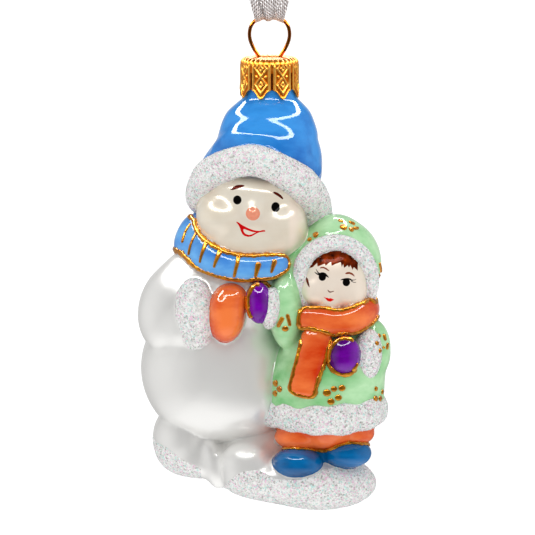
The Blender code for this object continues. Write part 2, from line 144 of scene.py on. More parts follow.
def egg(centre, radii, lean=0.0, melts=2.0):
    """A padded ball; lean, in degrees, tips its right end down."""
    centre, radii = np.array(centre, float), np.array(radii, float)
    turn = np.array(Matrix.Rotation(radians(lean), 3, "Y"))
    reach = np.sqrt(((turn * radii) ** 2).sum(1))

    def distance(points):
        return egg_distance((points - centre) @ turn, radii)

    return Form(distance, centre - reach, centre + reach, melts)


def stack(rows, melts=1.0):
    """An upright body of oval levels, each (z, centre x, centre y, half width, half depth)."""
    z, x, y, wide, deep = smooth_path(sorted(rows), LEVEL_STEPS).T

    def distance(points):
        height = points[:, 2]
        cx, cy, rx, ry = (np.interp(height, z, column) for column in (x, y, wide, deep))
        side = egg_distance(np.stack([points[:, 0] - cx, points[:, 1] - cy], 1), np.stack([rx, ry], 1))
        ends = np.maximum(z[0] - height, height - z[-1])
        return -melt(-STACK_SIDE_SLOPE * side, -ends, STACK_ROUNDING)

    low = np.array([(x - wide).min(), (y - deep).min(), z[0]])
    high = np.array([(x + wide).max(), (y + deep).max(), z[-1]])
    return Form(distance, low, high, melts)


def roll(rows, upright=(0, 0, 1), closed=False, melts=1.0):
    """A padded tube; a row is (x, y, z, half thickness, half height), and upright is its height's way."""
    path = smooth_path(rows, ROLL_STEPS, closed)
    place, half = path[:, :3], path[:, 3:]
    after, before = np.roll(place, -1, 0), np.roll(place, 1, 0)
    if not closed:
        after[-1], before[0] = place[-1], place[0]
    along = after - before
    along /= np.linalg.norm(along, axis=1)[:, None]
    up = np.array(upright, float) - (along @ np.array(upright, float))[:, None] * along
    up /= np.linalg.norm(up, axis=1)[:, None]
    axes = np.stack([np.cross(along, up), up, along], 1)
    first = np.arange(len(place) if closed else len(place) - 1)
    second = (first + 1) % len(place)
    start, span = place[first], place[second] - place[first]
    radii = np.concatenate([half, half.min(1)[:, None]], 1)

    def distance_of(points):
        offset = points[:, None] - start
        share = np.clip((offset * span).sum(-1) / (span ** 2).sum(-1), 0.0, 1.0)
        gap = offset - share[..., None] * span
        nearest = (gap ** 2).sum(-1).argmin(1)
        row = np.arange(len(points))
        share, gap = share[row, nearest][:, None], gap[row, nearest]
        a, b = first[nearest], second[nearest]
        local = (gap[:, None] * (axes[a] * (1 - share[..., None]) + axes[b] * share[..., None])).sum(-1)
        return egg_distance(local, radii[a] * (1 - share) + radii[b] * share)

    def distance(points):
        pieces = [distance_of(points[i:i + AT_ONCE]) for i in range(0, len(points), AT_ONCE)]
        return np.concatenate(pieces) if pieces else np.zeros(0)

    return Form(distance, place.min(0) - half.max(), place.max(0) + half.max(), melts)


def group_distance(group, points):
    total = None
    for form in group.forms:
        part = form.distance(points)
        total = part if total is None else melt(total, part, form.melt)
    return total


def group_box(group):
    return np.min([f.low for f in group.forms], 0), np.max([f.high for f in group.forms], 0)


figure = {}


def sculpt(name, *forms, melts):
    """Add a group of forms; melts is how softly the group joins the rest of the figure."""
    figure[name] = Group(forms, melts)
    low, high = group_box(figure[name])
    print(f"{name}: {len(forms)} forms, {' x '.join(f'{size:.0f}' for size in high - low)} mm")


# %% [markdown]
# ## The snowman's body
#
# Two big eggs make the belly and the chest, and smaller ones make the shoulder and the bent arm that
# reaches to the front. They melt by several millimetres, because the mould's creases are shallow.

# %% Body and neck
sculpt(
    "body",
    egg((-12.1, 0.0, 32.0), (17.5, 17.0, 17.5)),
    egg((-5.4, 0.5, 27.1), (11.5, 15.5, 11.3), melts=5.0),
    egg((-11.8, 0.0, 49.0), (12.4, 13.5, 11.5), melts=3.0),
    egg((-6.0, -2.0, 60.0), (9.0, 10.5, 6.0)),
    egg((-6.0, -6.2, 49.6), (10.0, 9.0, 9.6), melts=3.0),
    egg((-22.0, -6.0, 46.6), (8.0, 8.6, 10.8), lean=15, melts=1.2),
    egg((-18.8, -10.6, 43.4), (6.2, 5.8, 6.0), melts=1.4),
    egg((-16.6, -3.4, 53.6), (7.6, 8.0, 6.8), melts=2.5),
    melts=0.5,
)
sculpt("neck", stack([(z, 0.2, 0.0, 5.8, 5.8) for z in (84.0, 92.0, 102.2)]), melts=0.8)


# %% [markdown]
# ## The snowman's head and hat
#
# The face is a wide egg with round cheeks, a chin and a brow melted on. The hat is a soft cone that
# leans back, and two thin rolls make the folds across its front. The fur brim is a closed roll,
# tilted down on the right and thicker there.

# %% Face, hat and brim
sculpt(
    "face",
    egg((-4.5, -0.5, 68.9), (12.2, 13.0, 10.1), lean=8),
    egg((-10.9, -7.8, 68.0), (5.8, 7.4, 5.3), melts=2.5),
    egg((2.6, -7.3, 66.5), (5.5, 7.4, 5.3), melts=2.5),
    egg((-4.5, -7.3, 63.3), (5.1, 6.0, 3.5), melts=3.0),
    egg((-4.0, -8.5, 73.6), (7.8, 5.0, 3.2), lean=8, melts=3.0),
    egg((-4.1, -12.2, 70.2), (2.0, 2.6, 2.1), melts=1.6),
    egg((-5.0, -6.0, 61.6), (9.2, 8.4, 5.4), melts=4.0),
    egg((1.5, -4.5, 62.8), (7.0, 8.5, 5.5), melts=3.0),
    melts=0.5,
)
sculpt("nose", egg((-3.9, -14.0, 69.4), (1.4, 1.9, 1.4)), melts=0.4)
sculpt(
    "hat",
    stack([
        (95.6, 0.1, 0.0, 6.0, 6.0), (94.3, 0.1, 0.0, 6.3, 6.3), (93.1, 0.0, 0.0, 7.6, 7.6),
        (91.1, -0.2, 0.2, 9.5, 9.4), (88.8, -0.3, 0.3, 10.6, 10.4), (86.5, -0.3, 0.4, 11.3, 11.2),
        (84.6, -0.5, 0.6, 11.7, 11.8), (82.3, -1.0, 1.0, 12.8, 12.2), (80.0, -1.6, 1.6, 13.7, 12.2),
        (77.7, -2.0, 2.4, 14.1, 11.6), (74.9, -2.1, 3.2, 13.8, 10.6), (71.9, -2.6, 3.6, 12.4, 9.6),
    ]),
    roll([
        (-11.0, -3.6, 83.0, 0.9, 1.0), (-9.2, -7.0, 85.0, 1.0, 1.1), (-5.4, -9.7, 86.3, 1.1, 1.2),
        (-0.8, -10.5, 85.9, 1.1, 1.2), (3.4, -9.6, 84.5, 1.1, 1.2), (6.6, -7.6, 82.6, 1.0, 1.1),
    ], upright=(0, 0.3, 1), melts=3.6),
    roll([
        (1.6, -11.2, 83.3, 0.7, 0.8), (5.0, -9.6, 81.9, 0.9, 1.0), (8.4, -6.4, 79.8, 0.9, 1.0),
        (10.6, -2.0, 77.6, 0.7, 0.8),
    ], upright=(0, 0.3, 1), melts=2.6),
    melts=0.8,
)
sculpt(
    "brim",
    roll([
        (-4.0, -12.6, 81.2, 3.4, 3.5), (1.3, -11.6, 79.6, 3.4, 3.6), (6.3, -8.2, 76.2, 3.6, 3.9),
        (9.5, -3.8, 72.1, 3.9, 4.2), (10.3, -0.5, 68.0, 4.0, 4.2), (10.0, 5.5, 66.5, 3.8, 4.2),
        (6.3, 10.4, 67.5, 3.5, 3.9), (0.5, 13.0, 68.0, 3.4, 3.8), (-6.0, 13.3, 68.5, 3.4, 3.8),
        (-11.5, 10.8, 69.3, 3.4, 3.8), (-14.6, 6.0, 70.3, 3.4, 3.8), (-15.9, 0.5, 71.4, 3.3, 3.6),
        (-15.4, -4.5, 74.8, 3.2, 3.5), (-13.5, -8.4, 77.9, 3.3, 3.5), (-9.1, -11.4, 80.3, 3.3, 3.5),
    ], upright=(-0.15, 0.3, 1), closed=True),
    melts=0.7,
)


# %% [markdown]
# ## The snowman's scarf and hand
#
# The scarf is an open roll that dives under the hood. Its section leans back, so that it hugs the neck.
# The cuff is one flattened egg on the chest, and the mitten is a palm, fingers and a thumb melted together.

# %% Scarf, cuff and mitten
sculpt(
    "scarf",
    roll([
        (2.5, -12.9, 57.6, 1.9, 2.2), (0.9, -13.7, 57.3, 2.1, 2.7), (-1.3, -14.2, 57.0, 2.1, 2.9),
        (-5.4, -14.6, 56.9, 2.1, 3.1), (-9.5, -13.8, 57.5, 2.1, 3.3), (-13.6, -11.6, 59.1, 2.1, 3.8),
        (-16.9, -7.7, 61.2, 2.0, 4.5), (-19.1, -2.0, 63.3, 2.1, 4.6), (-17.7, 4.0, 62.4, 2.1, 4.4),
        (-14.0, 9.6, 60.2, 2.5, 3.9), (-8.0, 13.2, 58.8, 2.5, 3.6), (-1.0, 13.8, 58.0, 2.5, 3.5),
        (6.0, 11.2, 57.5, 2.5, 3.3), (9.0, 7.5, 57.0, 2.4, 3.1),
    ], upright=(0.5, 0.3, 1)),
    melts=0.6,
)
sculpt("cuff", egg((-17.0, -13.8, 46.0), (4.6, 4.6, 8.4), lean=-3), melts=0.5)
sculpt(
    "mitten",
    egg((-9.8, -14.8, 45.6), (4.2, 5.5, 5.9), lean=4),
    egg((-8.8, -14.0, 49.9), (3.8, 4.5, 3.3), melts=1.8),
    egg((-11.4, -15.6, 48.2), (2.0, 3.9, 2.6), melts=1.2),
    melts=0.4,
)


# %% [markdown]
# ## The child
#
# The coat is one stack from hem to collar, with the sleeves, the hood and its little peak melted on.
# The face sits in the hood behind a fur roll, and a wide scarf with one hanging end closes the collar.

# %% Coat, face and hood edge
sculpt(
    "coat",
    stack([
        (50.5, 15.0, -5.0, 4.6, 6.0), (47.6, 14.8, -5.0, 5.1, 6.5), (44.1, 14.6, -5.4, 7.8, 8.2),
        (40.6, 14.5, -6.0, 9.9, 9.8), (36.0, 14.3, -7.2, 12.9, 11.6), (31.3, 13.1, -7.8, 13.5, 12.8),
        (26.7, 12.8, -8.0, 13.5, 12.8), (23.2, 12.9, -7.8, 13.2, 12.4), (18.8, 12.8, -7.0, 11.3, 11.5),
        (15.1, 12.5, -7.0, 8.7, 9.0),
    ]),
    egg((3.6, -12.0, 46.3), (3.9, 5.2, 8.7), lean=-4, melts=1.5),
    egg((5.2, -6.0, 53.0), (4.0, 7.0, 8.0)),
    egg((23.5, -9.0, 38.5), (4.2, 5.4, 6.2), lean=-8, melts=1.5),
    egg((15.6, -3.2, 56.4), (10.1, 10.2, 10.7), melts=1.5),
    egg((14.8, -5.5, 63.3), (4.4, 6.0, 3.9), lean=-38, melts=3.0),
    egg((7.6, -4.5, 57.4), (4.4, 8.0, 5.0)),
    melts=0.7,
)
sculpt(
    "child_face",
    egg((15.0, -9.8, 53.3), (7.6, 6.6, 6.8), lean=4),
    egg((10.6, -12.6, 51.2), (3.2, 3.8, 3.2), melts=1.8),
    egg((18.4, -12.6, 50.4), (3.4, 3.8, 3.2), melts=1.8),
    egg((14.1, -13.0, 48.8), (2.6, 3.6, 2.2), melts=1.6),
    egg((14.9, -8.6, 55.6), (7.6, 6.4, 7.2), melts=1.5),
    egg((14.3, -15.6, 51.9), (0.8, 1.2, 1.2), melts=0.8),
    melts=0.5,
)
sculpt(
    "trim",
    roll([
        (8.3, -12.2, 48.8, 1.6, 1.5), (7.4, -12.0, 51.2, 1.7, 1.6), (7.1, -12.1, 54.2, 1.7, 1.6),
        (7.7, -12.6, 57.9, 1.8, 1.7), (10.0, -13.2, 60.8, 1.8, 1.8), (13.5, -13.5, 62.4, 1.8, 1.9),
        (17.1, -13.5, 62.3, 1.8, 1.9), (20.4, -12.9, 60.4, 1.8, 1.8), (22.5, -12.0, 57.3, 1.8, 1.7),
        (23.3, -11.2, 53.6, 1.8, 1.6), (22.8, -10.4, 50.0, 1.7, 1.5),
    ], upright=(0, 1, 0)),
    melts=0.4,
)

# %% Child's scarf and hands
sculpt(
    "wrap",
    roll([
        (6.5, -13.4, 45.1, 1.8, 1.6), (7.9, -14.5, 45.1, 2.2, 2.6), (11.4, -15.9, 45.0, 2.4, 3.1),
        (15.1, -16.6, 44.5, 2.4, 3.1), (18.7, -16.2, 45.0, 2.4, 3.1), (21.5, -13.4, 46.1, 2.4, 3.1),
        (22.9, -8.5, 46.6, 2.3, 3.1), (22.4, -3.0, 46.3, 2.3, 3.0), (19.5, 1.8, 46.3, 2.3, 2.9),
        (14.5, 4.0, 46.3, 2.3, 2.9), (9.0, 2.5, 46.0, 2.2, 2.8),
    ], upright=(0, 0.2, 1)),
    melts=0.5,
)
sculpt(
    "tail",
    roll([
        (10.8, -16.8, 41.2, 1.4, 3.6), (9.8, -18.4, 37.7, 1.4, 3.3), (8.5, -19.7, 33.5, 1.4, 3.1),
        (7.4, -20.4, 29.4, 1.4, 3.1),
    ], upright=(1, 0, 0.25)),
    melts=0.4,
)
sculpt("cuff_a", egg((0.2, -15.6, 47.6), (2.1, 3.0, 4.8), lean=6), melts=0.4)
sculpt("mitten_a", egg((-2.5, -15.6, 48.9), (2.9, 4.2, 4.8), lean=-2), melts=0.4)
sculpt("cuff_b", egg((22.3, -14.4, 36.6), (3.3, 4.2, 6.1), lean=6), melts=0.4)
sculpt("mitten_b", egg((17.0, -18.2, 37.1), (3.7, 3.8, 4.5), lean=10), melts=0.4)

# %% [markdown]
# ## Hem, legs and snow
#
# The coat ends in a fur hem, a roll whose section swells and shrinks along the path, as stuffed fur does.
# Two short legs in boots stand on a low heap of snow, which closes the ornament's foot. A blown figure
# can't have a gap between its legs, so a web of glass fills it.

# %% Hem, legs and snow
sculpt(
    "hem",
    roll([
        (0.6, -11.0, 23.2, 2.3, 3.7), (2.6, -13.6, 23.1, 2.0, 3.4), (5.0, -15.8, 23.2, 2.6, 3.9),
        (7.6, -17.8, 22.9, 2.1, 3.5), (10.4, -19.0, 22.7, 2.6, 3.9), (13.5, -19.7, 22.6, 2.1, 3.5),
        (16.6, -19.2, 22.7, 2.6, 3.9), (19.6, -17.6, 23.0, 2.1, 3.5), (22.3, -15.4, 23.3, 2.6, 3.8),
        (24.1, -11.6, 23.5, 2.1, 3.4), (24.8, -8.0, 23.4, 2.3, 3.5), (24.9, -4.0, 23.0, 2.1, 3.0),
        (23.5, 0.5, 22.5, 2.3, 2.8), (18.0, 4.6, 22.0, 2.3, 2.8), (11.0, 5.6, 21.5, 2.3, 2.8),
        (5.0, 4.3, 21.5, 2.3, 2.8),
    ]),
    melts=0.5,
)
sculpt(
    "trousers",
    egg((7.0, -11.0, 17.4), (5.9, 6.4, 3.2)),
    egg((18.5, -10.0, 18.1), (5.6, 6.2, 3.1), melts=0.5),
    melts=0.6,
)
sculpt(
    "boots",
    egg((6.4, -14.6, 11.9), (5.8, 6.0, 3.6)),
    egg((17.8, -12.3, 13.8), (5.6, 5.9, 3.5), melts=0.4),
    melts=0.4,
)
sculpt("legs_web", egg((12.6, -7.5, 14.0), (10.0, 7.0, 7.0)), melts=0.4)
sculpt(
    "base",
    egg((9.8, -6.0, 6.8), (14.7, 13.2, 6.7), lean=4),
    egg((-1.7, -7.0, 7.9), (9.7, 11.5, 5.3), melts=3.0),
    egg((-5.2, -10.5, 11.1), (6.2, 7.0, 5.3), melts=1.5),
    egg((-19.7, 1.2, 15.7), (7.2, 10.5, 8.1), melts=1.2),
    egg((-14.4, 1.8, 10.3), (10.1, 11.0, 4.3), lean=8, melts=3.0),
    egg((-2.0, -1.0, 13.5), (10.0, 9.5, 6.5), melts=2.5),
    egg((-12.9, -6.4, 10.8), (2.1, 4.0, 5.8), lean=-10, melts=2.4),
    melts=0.4,
)


# %% [markdown]
# ## From the field to a skin
#
# The field is sampled on a grid, and every cell that the surface crosses gets one vertex, at the mean of
# the crossings on its edges. Neighbouring cells share quads. This is called surface nets, and it gives
# an even mesh of squares that shades well. Each vertex then slides along the field's slope onto the true
# surface, which takes out the steps of the grid.

# %% Sampling the field on a grid
GRID = 0.56
MARGIN = 3.0
FAR = 50.0


def fill_grid():
    """Distance from the whole figure on a regular grid, and the grid's first corner."""
    boxes = [group_box(group) for group in figure.values()]
    low = np.min([box[0] for box in boxes], 0) - 2 * GRID
    high = np.max([box[1] for box in boxes], 0) + 2 * GRID
    counts = np.ceil((high - low) / GRID).astype(int) + 1
    axes = [low[k] + GRID * np.arange(counts[k]) for k in range(3)]
    field = np.full(counts, FAR)
    for group in figure.values():
        near, far = group_box(group)
        first = np.maximum(((near - MARGIN - low) / GRID).astype(int), 0)
        last = np.minimum(((far + MARGIN - low) / GRID).astype(int) + 2, counts)
        block = tuple(slice(a, b) for a, b in zip(first, last))
        points = np.stack(np.meshgrid(*[axis[part] for axis, part in zip(axes, block)], indexing="ij"), -1)
        part = group_distance(group, points.reshape(-1, 3)).reshape(points.shape[:3])
        field[block] = melt(field[block], part, group.melt)
    return field, low


def figure_distance(points):
    """Distance from the whole figure at any points, and from each group alone."""
    total = np.full(len(points), FAR)
    alone = {}
    for name, group in figure.items():
        low, high = group_box(group)
        close = np.all((points > low - MARGIN) & (points < high + MARGIN), axis=1)
        alone[name] = np.full(len(points), FAR)
        if close.any():
            alone[name][close] = group_distance(group, points[close])
            total[close] = melt(total[close], alone[name][close], group.melt)
    return total, alone


# %% Surface nets
def crossing_cells(field):
    """One vertex, in grid steps, for each cell that the surface crosses, and the number of each cell."""
    inside = field < 0
    size = np.array(field.shape) - 1
    corners = [(i, j, k) for i in (0, 1) for j in (0, 1) for k in (0, 1)]

    def corner(values, at):
        return values[at[0]:size[0] + at[0], at[1]:size[1] + at[1], at[2]:size[2] + at[2]]

    filled = sum(corner(inside, at).astype(np.int8) for at in corners)
    crossed = (filled > 0) & (filled < len(corners))
    number = np.full(crossed.shape, -1)
    number[crossed] = np.arange(crossed.sum())
    total, count = np.zeros((crossed.sum(), 3)), np.zeros(crossed.sum())
    for at in corners:
        for axis in range(3):
            if at[axis] == 1:
                continue
            end = tuple(1 if k == axis else at[k] for k in range(3))
            a, b = corner(field, at)[crossed], corner(field, end)[crossed]
            cut = (a < 0) != (b < 0)
            crossing = np.tile(np.array(at, float), (cut.sum(), 1))
            crossing[:, axis] = a[cut] / (a[cut] - b[cut])
            total[cut] += crossing
            count[cut] += 1
    return np.argwhere(crossed) + total / count[:, None], number


def net_quads(field, number):
    """A quad around every grid edge whose ends lie on different sides of the surface."""
    inside = field < 0
    quads = []
    for axis in range(3):
        u, v = [k for k in range(3) if k != axis]
        here, there = [slice(None)] * 3, [slice(None)] * 3
        here[axis], there[axis] = slice(0, -1), slice(1, None)
        edges = np.argwhere(inside[tuple(here)] != inside[tuple(there)])
        leaves = inside[tuple(here)][tuple(edges.T)]
        ring = []
        for du, dv in ((1, 1), (0, 1), (0, 0), (1, 0)):
            cell = edges.copy()
            cell[:, u] -= du
            cell[:, v] -= dv
            ring.append(number[tuple(cell.T)])
        ring = np.stack(ring, 1)
        turned = leaves if axis == 1 else ~leaves
        ring[turned] = ring[turned][:, ::-1]
        quads.append(ring)
    return np.concatenate(quads)


SLOPE_STEP = 0.02
LEAST_SLOPE = 0.25
LONGEST_SLIDE = 0.3


def slope(points, value):
    """Direction in which the distance grows fastest, by small steps along each axis."""
    return np.stack([
        (figure_distance(points + SLOPE_STEP * way)[0] - value) / SLOPE_STEP for way in np.eye(3)
    ], 1)


def settle(points):
    """Slide points onto the surface and return them with the outward normals."""
    value = figure_distance(points)[0]
    way = slope(points, value)
    steep = np.maximum((way ** 2).sum(1), LEAST_SLOPE)
    points = points - np.clip(value, -LONGEST_SLIDE, LONGEST_SLIDE)[:, None] * way / steep[:, None]
    way = slope(points, figure_distance(points)[0])
    return points, way / np.linalg.norm(way, axis=1)[:, None]


def soften(normals, quads):
    """Average each vertex's outward way over the faces around it, which calms the highlights."""
    faces = normals[quads].sum(1)
    total = normals * 2.0
    for corner in range(4):
        np.add.at(total, quads[:, corner], faces)
    return total / np.linalg.norm(total, axis=1)[:, None]


field, corner_place = fill_grid()
net, cell_number = crossing_cells(field)
skin_quads = net_quads(field, cell_number)
skin_points, skin_normals = settle(corner_place + GRID * net)
skin_normals = soften(skin_normals, skin_quads)
print(f"skin: {len(skin_points)} vertices, {2 * len(skin_quads)} triangles")


# %% [markdown]
# ## Zones of paint
#
# A painter follows the forms, so each form's own colour ends where the next form begins. For every
# vertex, one number per colour says how far inside that colour it lies: positive inside, negative
# outside, zero on the border. Blender interpolates these numbers over the faces, and the material
# compares them with zero, which draws a crisp border on a coarse mesh.

# %% Zone numbers
ZONES = {
    "hat": ("hat", "neck"),
    "neck": ("neck",),
    "fur": ("brim", "cuff", "cuff_a", "cuff_b", "trim", "hem"),
    "ivory": ("face", "child_face", "nose"),
    "scarf": ("scarf",),
    "orange": ("mitten", "wrap", "tail", "trousers"),
    "coat": ("coat",),
    "purple": ("mitten_a", "mitten_b"),
    "boots": ("boots", "legs_web"),
}


def zone_number(alone, members):
    own = np.min([alone[name] for name in members], 0)
    rest = np.min([alone[name] for name in figure if name not in members], 0)
    return np.clip((rest - own) / 2, -MARGIN, MARGIN)


UNDER_HEM = 20.5
alone = figure_distance(skin_points)[1]
under = skin_points[:, 2] < UNDER_HEM
alone["trousers"] = np.where(under, np.minimum(alone["trousers"], alone["coat"]), alone["trousers"])
alone["coat"] = np.where(under, FAR, alone["coat"])
zones = {zone: zone_number(alone, members) for zone, members in ZONES.items()}
print({zone: int((number > 0).sum()) for zone, number in zones.items()})

# %% Snow patches
# The foot of the figure is dusted with glitter below a wavy line, drawn from the front.
PATCH_LEFT = [
    (-27.5, 16.5), (-26.0, 14.3), (-23.5, 13.3), (-21.8, 12.0), (-19.5, 10.2), (-17.2, 9.3), (-15.8, 8.4),
]
PATCH_RIGHT = [
    (-13.0, 1.0), (-10.5, 4.4), (-9.2, 5.8), (-7.6, 7.2), (-5.8, 8.1), (-3.2, 8.4), (-1.2, 7.7), (1.2, 6.3),
    (6.3, 6.2), (9.7, 6.8), (11.6, 8.4), (15.0, 9.0), (18.5, 8.7), (20.7, 9.1), (22.6, 10.6), (25.0, 12.0),
]


def rise(points):
    """Height on a picture plane that leans back as the camera does."""
    return points[:, 2] * cos(VIEW_TILT) + points[:, 1] * sin(VIEW_TILT)


def below_line(points, line):
    x, height = np.array(line).T
    return np.interp(points[:, 0], x, height, left=-FAR, right=-FAR) - rise(points)


BACK_SNOW_HEIGHT, BACK_WAVE, BACK_WAVE_TURNS = 9.0, 1.2, 0.45
BACK_STARTS, BACK_BLEND = 2.0, 4.0
snow_front = np.maximum(below_line(skin_points, PATCH_LEFT), below_line(skin_points, PATCH_RIGHT))
snow_back = BACK_SNOW_HEIGHT - skin_points[:, 2] + BACK_WAVE * np.sin(skin_points[:, 0] * BACK_WAVE_TURNS)
behind = np.clip((skin_points[:, 1] - BACK_STARTS) / BACK_BLEND, 0.0, 1.0)
snow = snow_front * (1 - behind) + snow_back * behind
snow = np.minimum(snow, zone_number(alone, ("base", "body")))
zones["fur"] = np.maximum(zones["fur"], np.clip(snow, -MARGIN, MARGIN))
zones["mist"] = np.where(zones["coat"] > 0, -MARGIN, -alone["coat"])
print("glitter covers", int((zones["fur"] > 0).sum()), "vertices")


# %% [markdown]
# ## Shader maths in plain Python
#
# Node trees are easier to read as sums. The class below wraps one output socket, and the usual signs
# add the Math node for it, so that 1 - mask is a node too. Any other node comes from Finish.node.

# %% Sockets that do sums
class Flow:
    """One output socket; sums with it add Math nodes to its tree."""

    def __init__(self, socket):
        self.socket = socket

    def math(self, operation, first, second=0.0, clamp=False):
        node = self.socket.node.id_data.nodes.new("ShaderNodeMath")
        node.operation, node.use_clamp = operation, clamp
        for place, value in zip(node.inputs, (first, second)):
            attach(place, value)
        return Flow(node.outputs[0])

    def __add__(self, other):
        return self.math("ADD", self, other)

    def __sub__(self, other):
        return self.math("SUBTRACT", self, other)

    def __rsub__(self, other):
        return self.math("SUBTRACT", other, self)

    def __mul__(self, other):
        return self.math("MULTIPLY", self, other)

    def __truediv__(self, other):
        return self.math("DIVIDE", self, other)

    def __pow__(self, other):
        return self.math("POWER", self, other)

    __radd__, __rmul__ = __add__, __mul__

    def least(self, other):
        return self.math("MINIMUM", self, other)

    def most(self, other):
        return self.math("MAXIMUM", self, other)

    def clamped(self):
        return self.math("ADD", self, 0.0, clamp=True)

    def step(self, width=0.03):
        """0 below zero and 1 above it, with a narrow ramp between."""
        return (self / width + 0.5).clamped()


def attach(place, value):
    """Link a socket to a place, or write a plain value there."""
    if isinstance(value, Flow):
        place.id_data.links.new(value.socket, place)
    elif hasattr(value, "__len__") and len(value) == 3 and len(place.default_value) == 4:
        place.default_value = (*value, 1.0)
    else:
        place.default_value = value


# %% Finishes
MIX_FACTOR, MIX_A, MIX_B, MIX_RESULT = 0, 6, 7, 2
NOISE_ROUGHNESS = 0.55


def srgb(red, green, blue):
    """A colour as a painter reads it, 0 to 255, in the linear light that shaders use."""
    share = np.array([red, green, blue]) / 255.0
    return tuple(np.where(share <= 0.04045, share / 12.92, ((share + 0.055) / 1.055) ** 2.4))


def set_stops(ramp, rows):
    """Give a ramp flat bands of colour: rows of (where a band starts, its colour)."""
    ramp.interpolation = "CONSTANT"
    for start, tint in rows:
        mark = ramp.elements[0] if start == 0.0 else ramp.elements.new(start)
        mark.color = (*srgb(*tint), 1.0)
    ramp.elements.remove(ramp.elements[-1])


class Finish:
    """A material: its node tree and the Principled shader that it ends in."""

    def __init__(self, name, **constants):
        self.name = name
        self.material = bpy.data.materials.new(name)
        self.material.use_nodes = True
        self.tree = self.material.node_tree
        self.shader = self.tree.nodes["Principled BSDF"]
        self.set(**constants)

    def set(self, **values):
        """Give the shader's sockets their values or links; coat_weight means Coat Weight."""
        places = {place.name.lower().replace(" ", "_"): place for place in self.shader.inputs}
        for name, value in values.items():
            attach(places[name], value)

    def node(self, kind, settings=None, inputs=None, output=0):
        """Any node: its settings are set first, stops among them, and then its sockets are filled."""
        node = self.tree.nodes.new("ShaderNode" + kind)
        for name, value in (settings or {}).items():
            if name == "stops":
                set_stops(node.color_ramp, value)
            else:
                setattr(node, name, value)
        for place, value in (inputs or {}).items():
            attach(node.inputs[place], value)
        return Flow(node.outputs[output])

    def mix(self, mask, below, above):
        """Colours below and above a mask, as layers of paint."""
        places = {MIX_FACTOR: mask, MIX_A: below, MIX_B: above}
        return self.node("Mix", {"data_type": "RGBA"}, places, MIX_RESULT)

    def zone(self, name):
        return self.node("Attribute", {"attribute_name": name}, output="Fac")

    def noise(self, scale, detail, vector=None):
        inputs = {"Scale": scale, "Detail": detail, "Roughness": NOISE_ROUGHNESS}
        inputs["Vector"] = vector or self.place()
        return self.node("TexNoise", None, inputs, "Fac")

    def place(self, kind="Object"):
        return self.node("TexCoord", output=kind)

    def axes(self, vector):
        """The three numbers of a vector."""
        return [Flow(socket) for socket in self.node("SeparateXYZ", None, {0: vector}).socket.node.outputs]

    def wave(self, phase):
        return self.node("Math", {"operation": "SINE"}, {0: phase}, "Value")

    def bump(self, height, distance, normal=None):
        inputs = {"Height": height, "Distance": distance, "Strength": 1.0}
        if normal:
            inputs["Normal"] = normal
        return self.node("Bump", None, inputs)

    def curve(self, value, rows):
        """A drawn curve through rows of (x, y), with straight spans; x is from 0 to 1."""
        flow = self.node("FloatCurve", None, {"Factor": 1.0, "Value": value})
        mapping = flow.socket.node.mapping
        mapping.use_clip = False
        points = mapping.curves[0].points
        for point, (x, y) in zip(points, (rows[0], rows[-1])):
            point.location = (x, y)
        for x, y in rows[1:-1]:
            points.new(x, y)
        for point in points:
            point.handle_type = "VECTOR"
        mapping.update()
        return flow


print("pearl white in linear light:", [round(float(c), 3) for c in srgb(238, 236, 230)])


# %% [markdown]
# ## Painted faces
#
# The eyes, brows, mouths and hair are flat brush marks, so they belong in the material and not in the
# mesh. Seen from the front, each mark lies between a lower and an upper edge. A Float Curve node holds
# one edge, and the mark is where the surface point lies between the two. Eyes are plain ovals.

# %% Brush marks as pairs of curves
MARK_SOFTNESS = 0.05


def pinched(rows):
    """The same rows with a crossed pair of edges beyond each end, so that nothing is painted there."""
    (first, a, b), (last, c, d) = rows[0], rows[-1]
    gap = 0.01 * (last - first)
    return [(first - gap, b + 1.0, a - 1.0), *rows, (last + gap, d + 1.0, c - 1.0)]


def brush_mark(finish, along, off, rows):
    """Rows of (place along, low edge, high edge), in millimetres; gives 1 inside the mark."""
    rows = pinched(rows)
    start, end = rows[0][0], rows[-1][0]
    share = ((along - start) / (end - start)).clamped()
    low = finish.curve(share, [((x - start) / (end - start), a) for x, a, b in rows])
    high = finish.curve(share, [((x - start) / (end - start), b) for x, a, b in rows])
    return (off - low).least(high - off).step(MARK_SOFTNESS)


def round_mark(across, height, centre, radii):
    x, y = (across - centre[0]) / radii[0], (height - centre[1]) / radii[1]
    return ((1.0 - (x * x + y * y) ** 0.5) * min(radii)).step(MARK_SOFTNESS)


BROWS = [
    [(-8.91, 72.38, 72.52), (-8.34, 72.38, 73.02), (-7.65, 72.57, 73.46), (-6.97, 72.79, 73.57),
     (-6.28, 73.02, 73.57), (-5.73, 73.25, 73.46)],
    [(0.86, 71.65, 71.97), (1.25, 71.38, 72.0), (1.94, 70.97, 71.74), (2.51, 70.56, 71.33),
     (2.9, 70.28, 70.92), (3.12, 70.33, 70.56)],
]
EYES = [((-7.35, 70.1), (0.96, 1.03)), ((1.39, 68.48), (0.98, 1.14))]
LIPS = [
    (-7.56, 64.94, 65.17), (-7.08, 64.39, 64.99), (-6.69, 63.53, 64.71), (-6.51, 62.91, 64.58),
    (-6.17, 62.27, 64.35), (-5.71, 61.9, 64.1), (-4.93, 61.68, 63.71), (-4.14, 61.77, 63.39),
    (-3.47, 62.13, 63.18), (-2.83, 62.52, 63.07), (-2.17, 62.73, 63.05), (-1.6, 62.82, 63.21),
    (-1.17, 62.86, 63.25), (-0.96, 62.91, 63.07),
]
